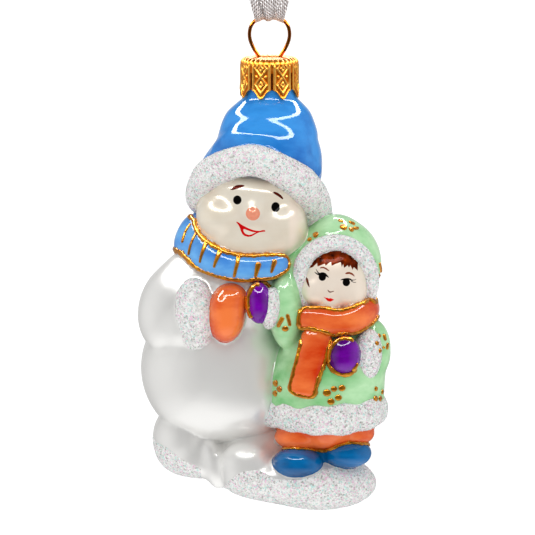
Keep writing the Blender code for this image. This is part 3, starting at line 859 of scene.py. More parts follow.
SMILE = [
    (-5.96, 63.14, 63.37), (-5.83, 62.73, 63.48), (-5.44, 62.34, 63.34), (-4.71, 62.11, 63.05),
    (-3.98, 62.27, 62.82), (-3.43, 62.57, 62.73), (-3.09, 62.7, 62.7),
]

# %% The child's features
# The fringe is filled up to the crown, where the fur edge hides it. The side lock runs upright, so its
# rows are (height, left edge, right edge).
CROWN = 62.0
FRINGE = [
    (8.58, 54.37), (9.9, 54.78), (10.86, 55.74), (10.97, 54.9), (11.84, 55.26), (12.66, 55.58),
    (12.78, 55.06), (13.48, 55.67), (14.08, 55.99), (14.17, 55.06), (15.1, 55.51), (16.24, 55.92),
    (16.5, 54.74), (16.82, 55.49), (17.0, 54.6), (17.45, 54.9), (17.8, 55.21), (18.14, 54.67),
    (18.46, 55.21), (18.94, 54.17), (19.26, 54.78), (20.17, 53.94),
]
SIDE_LOCK = [
    (50.15, 9.06, 9.15), (50.7, 8.69, 9.1), (51.5, 8.37, 8.92), (52.18, 8.28, 8.74), (52.48, 8.37, 8.46),
]
CHILD_BROWS = [
    [(11.52, 54.46, 54.67), (11.86, 54.51, 54.83), (12.32, 54.53, 54.87), (12.98, 54.17, 54.58),
     (13.39, 53.91, 54.23), (13.64, 53.87, 53.98)],
    [(17.32, 53.21, 53.43), (17.68, 53.16, 53.62), (18.21, 53.23, 53.69), (18.85, 52.98, 53.46),
     (19.19, 52.73, 53.14), (19.42, 52.61, 52.77)],
]
CHILD_EYES = [((12.05, 52.5), (0.84, 0.86)), ((17.52, 51.29), (0.86, 0.88))]
LIDS_AND_LASHES = [
    [(10.97, 53.02, 53.23), (11.29, 52.86, 53.39), (11.84, 52.86, 53.59), (12.34, 52.84, 53.59),
     (12.78, 52.68, 53.41), (13.23, 52.5, 52.93), (13.53, 52.32, 52.48)],
    [(10.61, 54.28, 54.42), (10.84, 53.66, 54.07), (11.11, 53.3, 53.69), (11.43, 53.12, 53.43)],
    [(10.29, 53.57, 53.75), (10.61, 53.21, 53.53), (10.97, 53.0, 53.32), (11.41, 52.91, 53.25)],
    [(16.22, 51.77, 51.91), (16.66, 51.79, 52.13), (17.39, 51.88, 52.29), (18.02, 51.93, 52.29),
     (18.48, 51.77, 52.18), (19.01, 51.61, 51.77)],
    [(18.37, 51.75, 52.07), (18.94, 51.72, 51.91), (19.39, 51.77, 51.91), (19.78, 51.93, 52.04)],
    [(18.6, 51.52, 51.75), (19.05, 51.29, 51.45), (19.39, 51.22, 51.36), (19.71, 51.24, 51.38)],
]
NOSTRILS = [
    (13.26, 49.46, 49.65), (13.48, 49.12, 49.49), (13.71, 48.96, 49.24), (14.05, 48.98, 49.21),
    (14.37, 49.1, 49.3), (14.69, 49.21, 49.35),
]
CHILD_LIPS = [
    (12.37, 47.89, 47.98), (12.75, 47.64, 47.84), (12.98, 47.32, 47.8), (13.21, 47.09, 47.78),
    (13.55, 46.91, 47.62), (13.96, 46.91, 47.71), (14.33, 47.09, 47.55), (14.69, 47.3, 47.36),
]


# %% [markdown]
# ## The lacquered glass
#
# All the paint on the glass is one material, built in layers as the painter did: pearl over the whole
# figure, then each colour inside its zone, then the fine marks. Each colour is mixed from a deep and a
# pale tone by soft noise, which is the lacquer's own uneven tone, and by the distance from its border:
# the deeper tone near the border, where the forms meet in a crease, is painted shade. Pearl is part
# mirror and part milk, which the Metallic value gives. Fur zones are matt, since the glitter is stuck on
# there, and the mould gave the big scarf fine ribs.

# %% Layers of lacquer
lacquer = Finish("lacquered_glass", coat_roughness=0.075, coat_ior=1.5, specular_ior_level=0.0)
position = lacquer.place()
across, depth, level = [number / MM for number in lacquer.axes(position)]
height = (level + HANG_HEIGHT) * cos(VIEW_TILT) + depth * sin(VIEW_TILT)
front = (0.0 - depth).step(1.0)


def strokes(scale, detail, stretch, lean):
    """Noise drawn out along a leaning direction, as a brush leaves it; lean is in degrees."""
    turned = {"Vector": position, "Scale": stretch, "Rotation": (0.0, radians(lean), 0.0)}
    return lacquer.noise(scale, detail, lacquer.node("Mapping", None, turned))


BLACK = srgb(10, 9, 9)
# How much deeper a colour gets near its zone's border: painted shade in the crease between forms.
CREASE_SHADE = 0.06
brushed = strokes(220.0, 4.0, (0.5, 1.0, 1.4), -12.0)
blotches = lacquer.noise(90.0, 2.0)


def two_tones(deep, pale, inside):
    """Deep where the brush noise runs high and near the border, where the deeper tone is painted crease
    shade; pale elsewhere.
    """
    brush_and_crease_shade = (brushed * 0.8 + blotches * 0.7 - 0.25 - inside * CREASE_SHADE).clamped()
    return lacquer.mix((brush_and_crease_shade * 2.3 - 0.6).clamped(), srgb(*pale), srgb(*deep))


zone = {name: lacquer.zone(name) for name in zones}
colour = lacquer.mix((blotches * 0.5).clamped(), srgb(248, 247, 244), srgb(234, 233, 230))
ivory = zone["ivory"].step()
colour = lacquer.mix(ivory, colour, two_tones((232, 218, 196), (240, 232, 216), zone["ivory"]))
mist = ((zone["mist"] + 2.2) / 2.4 + brushed - 0.5).clamped()
colour = lacquer.mix(mist * 0.75, colour, srgb(196, 232, 198))
for name, deep, pale in (
    ("hat", (8, 100, 190), (58, 152, 234)),
    ("scarf", (30, 112, 214), (112, 184, 246)),
    ("coat", (124, 198, 126), (196, 240, 190)),
    ("orange", (212, 52, 0), (252, 130, 66)),
    ("purple", (52, 0, 80), (124, 0, 172)),
    ("boots", (0, 70, 124), (0, 116, 184)),
):
    colour = lacquer.mix(zone[name].step(), colour, two_tones(deep, pale, zone[name]))

# %% Marks on both faces
BETWEEN_FACES = 4.5
snowman_side = (BETWEEN_FACES - across).step(1.0) * front
child_side = (across - BETWEEN_FACES).step(1.0) * front * ivory
NOSE = ((-3.79, 66.99), (1.62, 1.56))
colour = lacquer.mix(child_side * 0.55, colour, srgb(255, 236, 220))
nose_paint = round_mark(across, height, *NOSE) * front
colour = lacquer.mix(nose_paint, colour, lacquer.mix(brushed, srgb(238, 128, 92), srgb(250, 176, 148)))


brushwork = []


def paint(marks, tint):
    """Lay marks of one tint over the colour so far, and remember where they are."""
    global colour
    mask = reduce(Flow.most, marks)
    colour = lacquer.mix(mask, colour, tint)
    brushwork.append(mask)


def marks(side, *shapes):
    return [brush_mark(lacquer, across, height, rows) * side for rows in shapes]


def ovals(side, eyes):
    return [round_mark(across, height, *eye) * side for eye in eyes]


streaks = strokes(900.0, 2.0, (1.0, 1.0, 0.35), 35.0)
hair_tint = lacquer.mix((streaks * 2.4 - 0.75).clamped(), srgb(40, 5, 0), srgb(146, 50, 8))
brow_tint = lacquer.mix(streaks, srgb(50, 8, 4), srgb(110, 30, 16))
lips, opening = marks(snowman_side, LIPS, SMILE)
fringe = marks(child_side, [(x, y, CROWN) for x, y in FRINGE])
lock = brush_mark(lacquer, height, across, SIDE_LOCK) * child_side
paint(marks(snowman_side, *BROWS), brow_tint)
paint(ovals(snowman_side, EYES), BLACK)
paint([lips * (1.0 - opening)], srgb(214, 12, 16))
paint([*fringe, lock], hair_tint)
paint(marks(child_side, *CHILD_BROWS), srgb(140, 62, 34))
paint(ovals(child_side, CHILD_EYES) + marks(child_side, *LIDS_AND_LASHES), BLACK)
paint(marks(child_side, NOSTRILS), srgb(104, 36, 22))
paint(marks(child_side, CHILD_LIPS), srgb(232, 22, 18))
painted = reduce(Flow.most, brushwork)
print("nodes in the lacquer:", len(lacquer.tree.nodes))

# %% The glitter's bed
FLAKE_SCALE = 2600.0
NECK_CUT = 96.6
BED_TINTS = [
    (0.0, (234, 233, 229)), (0.25, (252, 252, 250)), (0.74, (246, 212, 230)), (0.85, (208, 242, 236)),
    (0.92, (190, 188, 184)),
]
fur = (zone["fur"] + brushed * 0.5 - 0.25).step(0.05)
flake_grid = {"Vector": position, "Scale": FLAKE_SCALE}
flake_cells = lacquer.node("TexVoronoi", {"feature": "F1"}, flake_grid, "Color")
facets = Flow(flake_cells.socket.node.outputs["Distance"])
flake_number = lacquer.node("SeparateColor", None, {0: flake_cells})
colour = lacquer.mix(fur, colour, lacquer.node("ValToRGB", {"stops": BED_TINTS}, {0: flake_number}))
# Under the cap the neck is painted dark brown: painted shade for the gap inside the cap, which makes the
# slits between the petals look black.
neck_shade = (level + HANG_HEIGHT - NECK_CUT).step(0.2) * zone["neck"].step()
colour = lacquer.mix(neck_shade, colour, srgb(40, 26, 14))

# %% Gloss and relief
RIB_TURNS = 2 * pi / 3.9
is_pearl = 1.0 - ivory
for name in ("hat", "scarf", "orange", "coat", "purple", "boots"):
    is_pearl = is_pearl * (1.0 - zone[name].step())
is_pearl = is_pearl * (1.0 - fur)
soft = {name: zone[name].step(0.5) for name in ("scarf", "orange", "purple")}
ribs = lacquer.bump(lacquer.wave(across * RIB_TURNS + height * 0.5) * soft["scarf"], 0.00012)
swelling = lacquer.noise(230.0, 1.0) * (soft["scarf"] + soft["orange"] + soft["purple"])
lumps = lacquer.bump(swelling, 0.0004, ribs)
ripples = lacquer.bump(lacquer.noise(330.0, 1.0), 0.00008, lumps)
waves = lacquer.bump(lacquer.noise(70.0, 2.0), 0.0006, ripples)
lacquer.set(
    base_color=colour,
    metallic=is_pearl * 0.37 + ivory * 0.14,
    roughness=0.27 + fur * 0.37 + is_pearl * 0.07,
    coat_weight=(1.0 - fur) * (1.0 - is_pearl * 0.3) * (1.0 - painted * 0.85) * (1.0 - ivory * 0.35),
    normal=lacquer.bump(facets * fur, 0.0002, waves),
)
print("nodes in the finished lacquer:", len(lacquer.tree.nodes))


# %% [markdown]
# ## From numbers to pieces
#
# Every piece below is rows of points, so two helpers join them for all: one makes the quads between
# rows, and one closes the ends of a tube. The last helper makes the object, hands over numbers such as
# the zones, and ties the piece to the part.

# %% Faces, pieces and the skin itself
def grid_faces(rows, size, rows_meet=False, ends_meet=False, first=0):
    """Quads between rows of size points; rows_meet joins the last row to the first, ends_meet each row."""
    faces = []
    for i in range(rows if rows_meet else rows - 1):
        here, there = first + i * size, first + (i + 1) % rows * size
        for k in range(size if ends_meet else size - 1):
            m = (k + 1) % size
            faces.append((here + k, here + m, there + m, there + k))
    return faces


def end_faces(rows, size, first=0):
    """One face over each end of a tube made of rows."""
    last = first + (rows - 1) * size
    return [tuple(range(first, first + size))[::-1], tuple(range(last, last + size))]


def piece_from(name, points, faces, finish, values=None, normals=None):
    """A mesh object in the row frame, riding on the part's one body; values are numbers per vertex."""
    mesh = bpy.data.meshes.new(name)
    mesh.from_pydata(to_frame(points).tolist(), [], [list(map(int, face)) for face in faces])
    for label, numbers in (values or {}).items():
        mesh.attributes.new(label, "FLOAT", "POINT").data.foreach_set("value", numbers.astype(np.float32))
    mesh.shade_smooth()
    if normals is not None:
        mesh.normals_split_custom_set_from_vertices(normals.tolist())
    mesh.materials.append(finish.material)
    piece = bpy.data.objects.new(name, mesh)
    bpy.context.collection.objects.link(piece)
    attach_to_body(piece, "root")
    print(f"{name}: {len(points)} vertices, {len(faces)} faces")
    return piece


skin = piece_from("glass_skin", skin_points, skin_quads, lacquer, zones, skin_normals)
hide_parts("glass_figure")


# %% [markdown]
# ## Raised gold
#
# Thick gold paint is run along the edges of both scarves, round the purple mittens and over the boots,
# and dropped as stripes and dots. On the mesh a line of it follows the zero line of a zone number, which
# is found triangle by triangle and chained into a path. A half-round section then rides on the skin.

# %% Touching the skin
skin_tree = BVHTree.FromPolygons(skin_points.tolist(), skin_quads.tolist())
VIEW_WAY = Vector((0.0, cos(VIEW_TILT), -sin(VIEW_TILT)))
RAY_START, RAY_MIDDLE = 60.0, 52.0


def touch(point):
    """Nearest place on the skin and the outward way there."""
    place, _, face, _ = skin_tree.find_nearest(Vector(point))
    return np.array(place), skin_normals[skin_quads[face]].mean(0)


def cast(x, level):
    """Where the ray into a point of the picture plane meets the skin, or else passes nearest to it."""
    start = Vector((x, -RAY_START, (level + RAY_START * sin(VIEW_TILT)) / cos(VIEW_TILT)))
    place = skin_tree.ray_cast(start, VIEW_WAY)[0]
    return np.array(place or skin_tree.find_nearest(start + RAY_MIDDLE * VIEW_WAY)[0])


# %% Border lines
skin_triangles = np.concatenate([skin_quads[:, [0, 1, 2]], skin_quads[:, [0, 2, 3]]])


def border_links(values, kept):
    """Crossing points of a zone's border on mesh edges, and which of them share a triangle."""
    positive = values > 0
    mixed = positive[skin_triangles].any(1) & ~positive[skin_triangles].all(1)
    places, links = {}, {}
    for triangle in skin_triangles[mixed].tolist():
        ends = []
        for a, b in zip(triangle, triangle[1:] + triangle[:1]):
            if positive[a] != positive[b] and kept[a]:
                key = (min(a, b), max(a, b))
                share = values[a] / (values[a] - values[b])
                places[key] = skin_points[a] * (1 - share) + skin_points[b] * share
                ends.append(key)
        if len(ends) == 2:
            for here, there in (ends, ends[::-1]):
                links.setdefault(here, []).append(there)
    return places, links


def border_lines(values, kept, shortest):
    """Chains of crossing points, as arrays; a closed chain repeats its first point."""
    places, links = border_links(values, kept)
    unused, lines = set(links), []
    for start in sorted(links, key=lambda key: len(links[key])):
        if start not in unused:
            continue
        chain = [start]
        unused.discard(start)
        while True:
            ahead = [key for key in links[chain[-1]] if key in unused]
            if not ahead:
                break
            chain.append(ahead[0])
            unused.discard(ahead[0])
        if start in links[chain[-1]] and len(chain) > 2:
            chain.append(start)
        line = np.array([places[key] for key in chain])
        if np.linalg.norm(np.diff(line, axis=0), axis=1).sum() > shortest:
            lines.append(line)
    return lines


def even_path(line, spacing, rounds=3):
    """Smooth a line and put its points at an even spacing."""
    closed = np.allclose(line[0], line[-1])
    for _ in range(rounds):
        if closed:
            core = line[:-1]
            core = (np.roll(core, 1, 0) + 2 * core + np.roll(core, -1, 0)) / 4
            line = np.vstack([core, core[:1]])
        else:
            line = np.vstack([line[:1], (line[:-2] + 2 * line[1:-1] + line[2:]) / 4, line[-1:]])
    reach = np.concatenate([[0.0], np.linalg.norm(np.diff(line, axis=0), axis=1).cumsum()])
    stations = np.linspace(0.0, reach[-1], max(int(reach[-1] / spacing), 3) + 1)
    return np.stack([np.interp(stations, reach, line[:, k]) for k in range(3)], 1)


# %% A bead of paint
BEAD_ACROSS = (-1.0, -0.8, -0.4, 0.0, 0.4, 0.8, 1.0)
BEAD_SINK = 0.15
BEAD_SPACING = 0.3
FULL_HALF = 0.3
END_RADIUS = 0.35
beads = {"points": [], "faces": []}


def follow(rows, closed, rounds):
    """Average each row with its neighbours along a path."""
    for _ in range(rounds):
        before, after = np.roll(rows, 1, 0), np.roll(rows, -1, 0)
        if not closed:
            before[0], after[-1] = rows[0], rows[-1]
        rows = (before + 2 * rows + after) / 4
    return rows


def lay_bead(path, halves, height):
    """A half-round line of paint on the skin; halves are its half widths at the path's points."""
    closed = np.allclose(path[0], path[-1])
    if closed:
        path, halves = path[:-1], halves[:-1]
    along = np.roll(path, -1, 0) - np.roll(path, 1, 0) if closed else np.gradient(path, axis=0)
    along = follow(along, closed, 2)
    contact = [touch(point) for point in path]
    out = follow(np.array([way for _, way in contact]), closed, 4)
    out /= np.linalg.norm(out, axis=1)[:, None]
    side = np.cross(out, along)
    side /= np.linalg.norm(side, axis=1)[:, None] + TINY
    base = sum(len(points) for points in beads["points"])
    rings = []
    for (place, _), up, across_way, half in zip(contact, out, side, halves):
        for t in BEAD_ACROSS:
            foot, _ = touch(place + across_way * half * t)
            crest = height * min(half / FULL_HALF, 1.0) * np.sqrt(1.0 - t * t)
            rings.append(foot + up * (crest - BEAD_SINK * (abs(t) == 1.0)))
    beads["points"].append(np.array(rings))
    beads["faces"] += grid_faces(len(path), len(BEAD_ACROSS), closed, True, base)
    if not closed:
        beads["faces"] += end_faces(len(path), len(BEAD_ACROSS), base)


def hand_width(count, half, seed):
    """A steady hand is never quite even: slow waves in the width of a line."""
    t = np.arange(count) * BEAD_SPACING
    return half * (1 + 0.16 * np.sin(1.9 * t + seed) + 0.12 * np.sin(4.3 * t + 2 * seed))


def end_caps(count, half_widths, spacing=BEAD_SPACING, radius=END_RADIUS):
    """Round the two ends of an open line."""
    reach = np.minimum(np.arange(count), np.arange(count)[::-1]) * spacing
    return half_widths * np.sqrt(np.clip(1 - (1 - np.minimum(reach / radius, 1.0)) ** 2, 0.02, 1.0))


# %% Gold along the borders
def nearest_other(members):
    """The group, outside the members, that lies closest to each vertex."""
    names = [name for name in figure if name not in members]
    return np.array(names)[np.argmin([alone[name] for name in names], 0)]


def facing(axis):
    """How squarely each vertex faces away from an upright axis, or to the front where there is none."""
    way = np.tile((0.0, -1.0, 0.0), (len(skin_points), 1))
    if axis:
        way = (skin_points - (*axis, 0.0)) * (1.0, 1.0, 0.0)
        way /= np.linalg.norm(way, axis=1)[:, None]
    return (skin_normals * way).sum(1)


EDGE_TURN = 0.42
EDGE_SLOPE = 2.5
SHORTEST_LINE = 4.0
# What a line goes round, the neighbours that it leaves bare, the upright axis that it faces away from,
# how far inside the border it lies, its half width and its height.
GOLD_BORDERS = (
    (("scarf",), ("brim",), (-4.0, 0.0), 0.35, 0.74, 0.5),
    (("wrap",), (), (15.0, -6.0), 0.3, 0.64, 0.5),
    (("tail",), ("wrap",), None, 0.1, 0.64, 0.5),
    (("mitten_a",), ("cuff_a",), None, 0.0, 0.84, 0.55),
    (("mitten_b",), ("cuff_b",), None, 0.0, 0.66, 0.5),
    (("boots", "legs_web"), None, None, 0.15, 0.56, 0.5),
)
for number, (members, skipped, axis, inset, half, height) in enumerate(GOLD_BORDERS):
    other = nearest_other(members)
    kept = other == "trousers" if skipped is None else ~np.isin(other, skipped)
    values = zone_number(alone, members) - inset
    if skipped is not None:
        values = np.minimum(values, EDGE_SLOPE * (facing(axis) - EDGE_TURN))
    for line in border_lines(values, kept, SHORTEST_LINE):
        path = even_path(line, BEAD_SPACING)
        halves = hand_width(len(path), half, number)
        if not np.allclose(line[0], line[-1]):
            halves = end_caps(len(path), halves)
        lay_bead(path, halves, height)
print("gold lines:", len(beads["points"]))

# %% [markdown]
# Loose strokes and drops come straight off the brush, so they are placed on the picture plane and
# thrown onto the skin along the view. A stripe or a dab is a few points with the half widths of its two
# ends, and a dot is a point with a radius.

# %% Stripes, dabs and dots
STRIPES = [
    ([(-4.9, 51.5), (-2.6, 51.9), (-0.3, 51.5), (0.4, 50.2)], 0.5, 0.4),
    ([(-18.0, 64.8), (-19.5, 62.6), (-20.0, 60.3)], 0.2, 0.34),
    ([(-16.5, 63.0), (-17.9, 60.3), (-18.5, 57.5)], 0.26, 0.32),
    ([(-14.3, 60.7), (-15.2, 58.2), (-15.9, 55.7)], 0.58, 0.24),
    ([(-11.1, 58.7), (-12.0, 56.6), (-12.7, 54.6)], 0.66, 0.24),
    ([(-7.0, 57.7), (-7.0, 55.9), (-8.1, 52.5)], 0.5, 0.32),
    ([(-2.4, 55.9), (-2.9, 54.1), (-3.3, 52.5)], 0.72, 0.3),
    ([(1.3, 56.5), (0.8, 55.0), (0.3, 53.4)], 0.64, 0.24),
]
DABS = [
    ([(15.7, 65.5), (16.9, 65.1)], 0.42, 0.42), ([(18.1, 65.1), (19.5, 64.6)], 0.36, 0.5),
    ([(19.2, 63.6), (20.3, 63.7)], 0.36, 0.36), ([(3.1, 43.4), (1.9, 41.1)], 0.5, 0.42),
    ([(4.0, 44.1), (4.7, 41.3)], 0.42, 0.36), ([(25.1, 55.7), (25.5, 53.7)], 0.42, 0.54),
    ([(25.2, 53.0), (25.3, 51.2)], 0.5, 0.38), ([(25.2, 38.6), (24.8, 39.5)], 0.56, 0.44),
    ([(26.1, 39.5), (26.5, 37.9)], 0.56, 0.44), ([(26.0, 36.7), (26.1, 36.1)], 0.44, 0.44),
    ([(27.0, 37.5), (26.8, 35.9)], 0.52, 0.4), ([(24.5, 27.4), (24.1, 26.5)], 0.7, 0.55),
]
DOTS = [
    (10.6, 62.2, 0.69), (9.2, 61.1, 0.51), (16.9, 63.9, 0.74), (18.7, 63.4, 0.58), (3.6, 40.7, 0.64),
    (1.4, 28.2, 0.74), (2.3, 26.9, 0.69), (1.3, 25.9, 0.69), (13.1, 26.1, 0.78), (14.7, 27.0, 0.62),
    (16.5, 27.2, 0.69), (15.7, 25.0, 0.67), (14.0, 24.1, 0.69), (25.8, 26.2, 0.55), (24.2, 24.7, 0.66),
    (25.3, 24.7, 0.62), (24.5, 37.4, 0.5), (25.2, 35.7, 0.5),
]


# %% Putting the strokes on the skin
LOADED_BRUSH = 1.22
STROKE_SPACING = 0.12
STROKE_HEIGHT, DOT_HEIGHT = 0.38, 0.36
DOT_STEPS, DOT_NARROWEST = 9, 0.1


def stroke(points, first, last):
    """A drop-shaped stroke between picture-plane points, with the half widths of its two ends."""
    path = even_path(np.array([cast(*point) for point in points]), STROKE_SPACING, rounds=1)
    halves = np.linspace(first, last, len(path))
    lay_bead(path, end_caps(len(path), halves, STROKE_SPACING, halves), STROKE_HEIGHT)


def dot(x, level, radius):
    """A round drop at a point of the picture plane."""
    centre, out = touch(cast(x, level))
    side = np.cross(out, (0.0, 0.0, 1.0))
    steps = radius * np.sin(np.linspace(-pi / 2, pi / 2, DOT_STEPS))
    path = centre + steps[:, None] * side / np.linalg.norm(side)
    lay_bead(path, np.sqrt(np.maximum(radius ** 2 - steps ** 2, DOT_NARROWEST ** 2)), DOT_HEIGHT)


for points, first, last in STRIPES + DABS:
    stroke(points, first * LOADED_BRUSH, last * LOADED_BRUSH)
for x, level, radius in DOTS:
    dot(x, level, radius * LOADED_BRUSH)

gold = Finish("gold_paint", metallic=0.75, coat_weight=0.6, coat_roughness=0.05)
gold_noise = gold.noise(700.0, 3.0)
gold.set(
    base_color=gold.mix((gold_noise * 1.6 - 0.3).clamped(), srgb(170, 84, 0), srgb(255, 176, 24)),
    roughness=0.16 + gold_noise * 0.2,
    normal=gold.bump(gold.noise(1100.0, 1.0), 0.00003),
)
piece_from("gold_lines", np.concatenate(beads["points"]), beads["faces"], gold)


# %% [markdown]
# ## Glitter
#
# Glitter is thousands of cut flakes of film stuck in glue. Each one here is a very low three-sided chip
# with its own tilt, so it catches the light by itself, and one number per flake picks its tint.

# %% Flakes on the fur and the snow
rng = np.random.default_rng(11)
FLAKES_PER_MM2 = 12.0
FLAKE_SIDES = 3
FLAKE_FACES = [(0, 1, 3), (1, 2, 3), (2, 0, 3), (2, 1, 0)]
FLAKE_RADII = (0.09, 0.165)
FLAKE_TILT, FLAKE_LIFT, FLAKE_PEAK = 0.45, 0.12, 0.04
FLAKE_TINTS = [
    (0.0, (255, 255, 255)), (0.55, (238, 238, 235)), (0.7, (246, 188, 218)), (0.785, (170, 238, 228)),
    (0.87, (190, 244, 190)), (0.91, (132, 128, 128)), (0.93, (255, 255, 255)),
]


def triangle_areas():
    a, b, c = (skin_points[skin_triangles[:, k]] for k in range(3))
    return np.linalg.norm(np.cross(b - a, c - a), axis=1) / 2


def scatter(number):
    """Random places on the skin where a zone number is positive, with their outward ways."""
    weight = triangle_areas() * (number[skin_triangles].mean(1) > 0)
    count = int(weight.sum() * FLAKES_PER_MM2)
    chosen = rng.choice(len(weight), count, p=weight / weight.sum())
    mix = rng.dirichlet((1.0, 1.0, 1.0), count)[:, :, None]
    corners = skin_triangles[chosen]
    return (skin_points[corners] * mix).sum(1), (skin_normals[corners] * mix).sum(1)


def flakes_mesh(places, outs):
    """Low closed chips, one per place, each tilted and turned at random."""
    count = len(places)
    tilt = outs + rng.normal(0.0, FLAKE_TILT, (count, 3))
    tilt /= np.linalg.norm(tilt, axis=1)[:, None]
    u = np.cross(tilt, rng.normal(size=(count, 3)))
    u /= np.linalg.norm(u, axis=1)[:, None]
    v = np.cross(tilt, u)
    radius = rng.uniform(*FLAKE_RADII, (count, 1))
    centre = places + outs * rng.uniform(0.0, FLAKE_LIFT, (count, 1))
    turns = 2 * pi * np.arange(FLAKE_SIDES) / FLAKE_SIDES
    ring = [centre + radius * (cos(turn) * u + sin(turn) * v) for turn in turns]
    points = np.stack([*ring, centre + FLAKE_PEAK * tilt], 1)
    faces = np.array(FLAKE_FACES)[None] + (FLAKE_SIDES + 1) * np.arange(count)[:, None, None]
    tint = np.repeat(rng.random(count), FLAKE_SIDES + 1)
    return points.reshape(-1, 3), faces.reshape(-1, 3), tint


glitter = Finish("glitter", specular_ior_level=0.5, metallic=0.0, roughness=0.16)
glitter.set(base_color=glitter.node("ValToRGB", {"stops": FLAKE_TINTS}, {0: glitter.zone("tint")}))
BELTS = (("brim_glitter", 60.0, np.inf), ("cloth_glitter", 17.5, 60.0), ("snow_glitter", -np.inf, 17.5))
for name, low, high in BELTS:
    belt = (skin_points[:, 2] > low) & (skin_points[:, 2] <= high)
    points, faces, tint = flakes_mesh(*scatter(np.where(belt, zones["fur"], -1.0)))
    piece_from(name, points, faces, glitter, {"tint": tint})


# %% [markdown]
# ## The brass crown cap
#
# The cap is stamped from thin gilt brass: a flat lid with one long slot for the wire, a rounded and
# pleated shoulder, and a skirt slit into eight pointed petals, each embossed with two diamonds in outline.
# It is made as one grid of columns round the axis. A height map in the code pushes the grid outward
# where the die raised it. A painted highlight follows the same lines and the pleats' crests, which are
# made paler, while the flat metal and the hollows keep a deeper tone, a painted shade.

# %% The die's pattern
CAP_TOP = 103.8
CAP_RADIUS = 6.72
PETALS = 8
PETAL_STEPS = 26
SLIT_HALF = radians(1.3)
FIRST_SLIT = radians(5.0)
SLIT_TOP = 100.4
PETAL_EDGE = [
    (0.0, 94.5), (0.15, 94.6), (0.3, 95.0), (0.42, 95.5), (0.55, 95.95), (0.75, 96.4), (0.9, 96.6),
    (1.0, 96.65),
]
SHOULDER = 1.4
SKIRT_TOP = CAP_TOP - SHOULDER
SKIRT_ROWS = 46
LID_ROWS = 16
SHOULDER_ROWS = 6
EMBOSS = 0.3
PLEATS = 32
PLEAT_DEPTH = 0.16
PLEAT_SHINE = 0.55
SLOT_HALF = (2.9, 1.2)
SLOT_LIP = 0.2
SKIRT_INSET = 0.2
FLARE, FLARE_FROM, FLARE_LENGTH = 0.25, 98.0, 3.5
PATTERN_TOP, PATTERN_FADE = 102.0, 0.7
DIAMONDS = [(101.6, 1.35, 1.9), (97.8, 1.35, 1.9), (101.6, 0.45, 0.6), (97.8, 0.45, 0.6)]
DIAMOND_LINE = 0.26
WAIST, WAIST_DOT, WAIST_DOT_SIZE = 99.7, 1.1, 0.32
SIDE_RIB, SIDE_RIB_WIDTH = 2.0, 0.36


def ridge(distance, width):
    """A rounded crest along the line where a distance is zero, 0 to 1."""
    return np.clip(1 - np.abs(distance) / width, 0.0, 1.0) ** 0.7


def diamond(u, z, centre, half_width, half_height):
    """A crest along the outline of a diamond."""
    outline = np.abs(u) / half_width + np.abs(z - centre) / half_height - 1
    return ridge(outline * half_width * 0.75, DIAMOND_LINE)


def petal_relief(u, z, edge):
    """Height of the stamped pattern at a distance u from the petal's middle, 0 to 1."""
    u = np.full(len(z), u)
    lines = [diamond(u, z, *sizes) for sizes in DIAMONDS]
    lines.append(ridge(np.hypot(np.abs(u) - WAIST_DOT, z - WAIST), WAIST_DOT_SIZE))
    lines.append(ridge(np.abs(u) - SIDE_RIB, SIDE_RIB_WIDTH))
    lines.append(0.7 * ridge(z - edge - 0.25, 0.3) * (np.abs(u) < SIDE_RIB - 0.1))
    return np.max(lines, 0)


def slot_radius(angle):
    """Half size of the lid's long slot along a direction."""
    return ((abs(sin(angle)) / SLOT_HALF[0]) ** 4 + (abs(cos(angle)) / SLOT_HALF[1]) ** 4) ** -0.25


# %% The cap's sheet
def cap_column(petal, off):
    """Points from the lid's slot to the petal's edge, and a painted highlight for each, 0 to 1: high on the
    raised lines and the pleats' crests.
    """
    pitch = 2 * pi / PETALS
    width = pitch - 2 * SLIT_HALF
    angle = FIRST_SLIT + petal * pitch + SLIT_HALF + width * (off + 1) / 2
    edge = np.interp(abs(off), *np.array(PETAL_EDGE).T)
    pleat = abs(cos(PLEATS / 2 * (angle - FIRST_SLIT))) ** 1.5
    sunk = PLEAT_DEPTH * (1 - pleat)
    lid = np.linspace(slot_radius(angle), CAP_RADIUS - SHOULDER, LID_ROWS)
    near_rim = np.clip(lid / (CAP_RADIUS - SHOULDER) * 3 - 2, 0, 1)
    lid_levels = CAP_TOP - SLOT_LIP * (np.arange(LID_ROWS) == 0) - near_rim * sunk
    bend = np.arange(1, SHOULDER_ROWS + 1) * pi / (2 * SHOULDER_ROWS)
    shoulder = CAP_RADIUS - SHOULDER + SHOULDER * np.sin(bend) - sunk
    shoulder_levels = CAP_TOP - SHOULDER * (1 - np.cos(bend)) - sunk * np.cos(bend)
    z = np.linspace(SKIRT_TOP, edge, SKIRT_ROWS + 1)[1:]
    fade = np.clip((z - PATTERN_TOP) / PATTERN_FADE, 0, 1)
    relief = petal_relief(off * width / 2 * CAP_RADIUS, z, edge) * (1 - fade)
    flare = FLARE * np.clip((FLARE_FROM - z) / FLARE_LENGTH, 0, 1)
    skirt = CAP_RADIUS - SKIRT_INSET + flare + EMBOSS * relief + fade * (SKIRT_INSET - sunk)
    r, levels = np.concatenate([lid, shoulder, skirt]), np.concatenate([lid_levels, shoulder_levels, z])
    crest_highlight = [0.2 - 0.2 * (1 - pleat) * near_rim, np.full(SHOULDER_ROWS, PLEAT_SHINE * pleat),
               relief + fade * PLEAT_SHINE * pleat]
    return np.stack([r * sin(angle), -r * cos(angle), levels], 1), np.concatenate(crest_highlight)


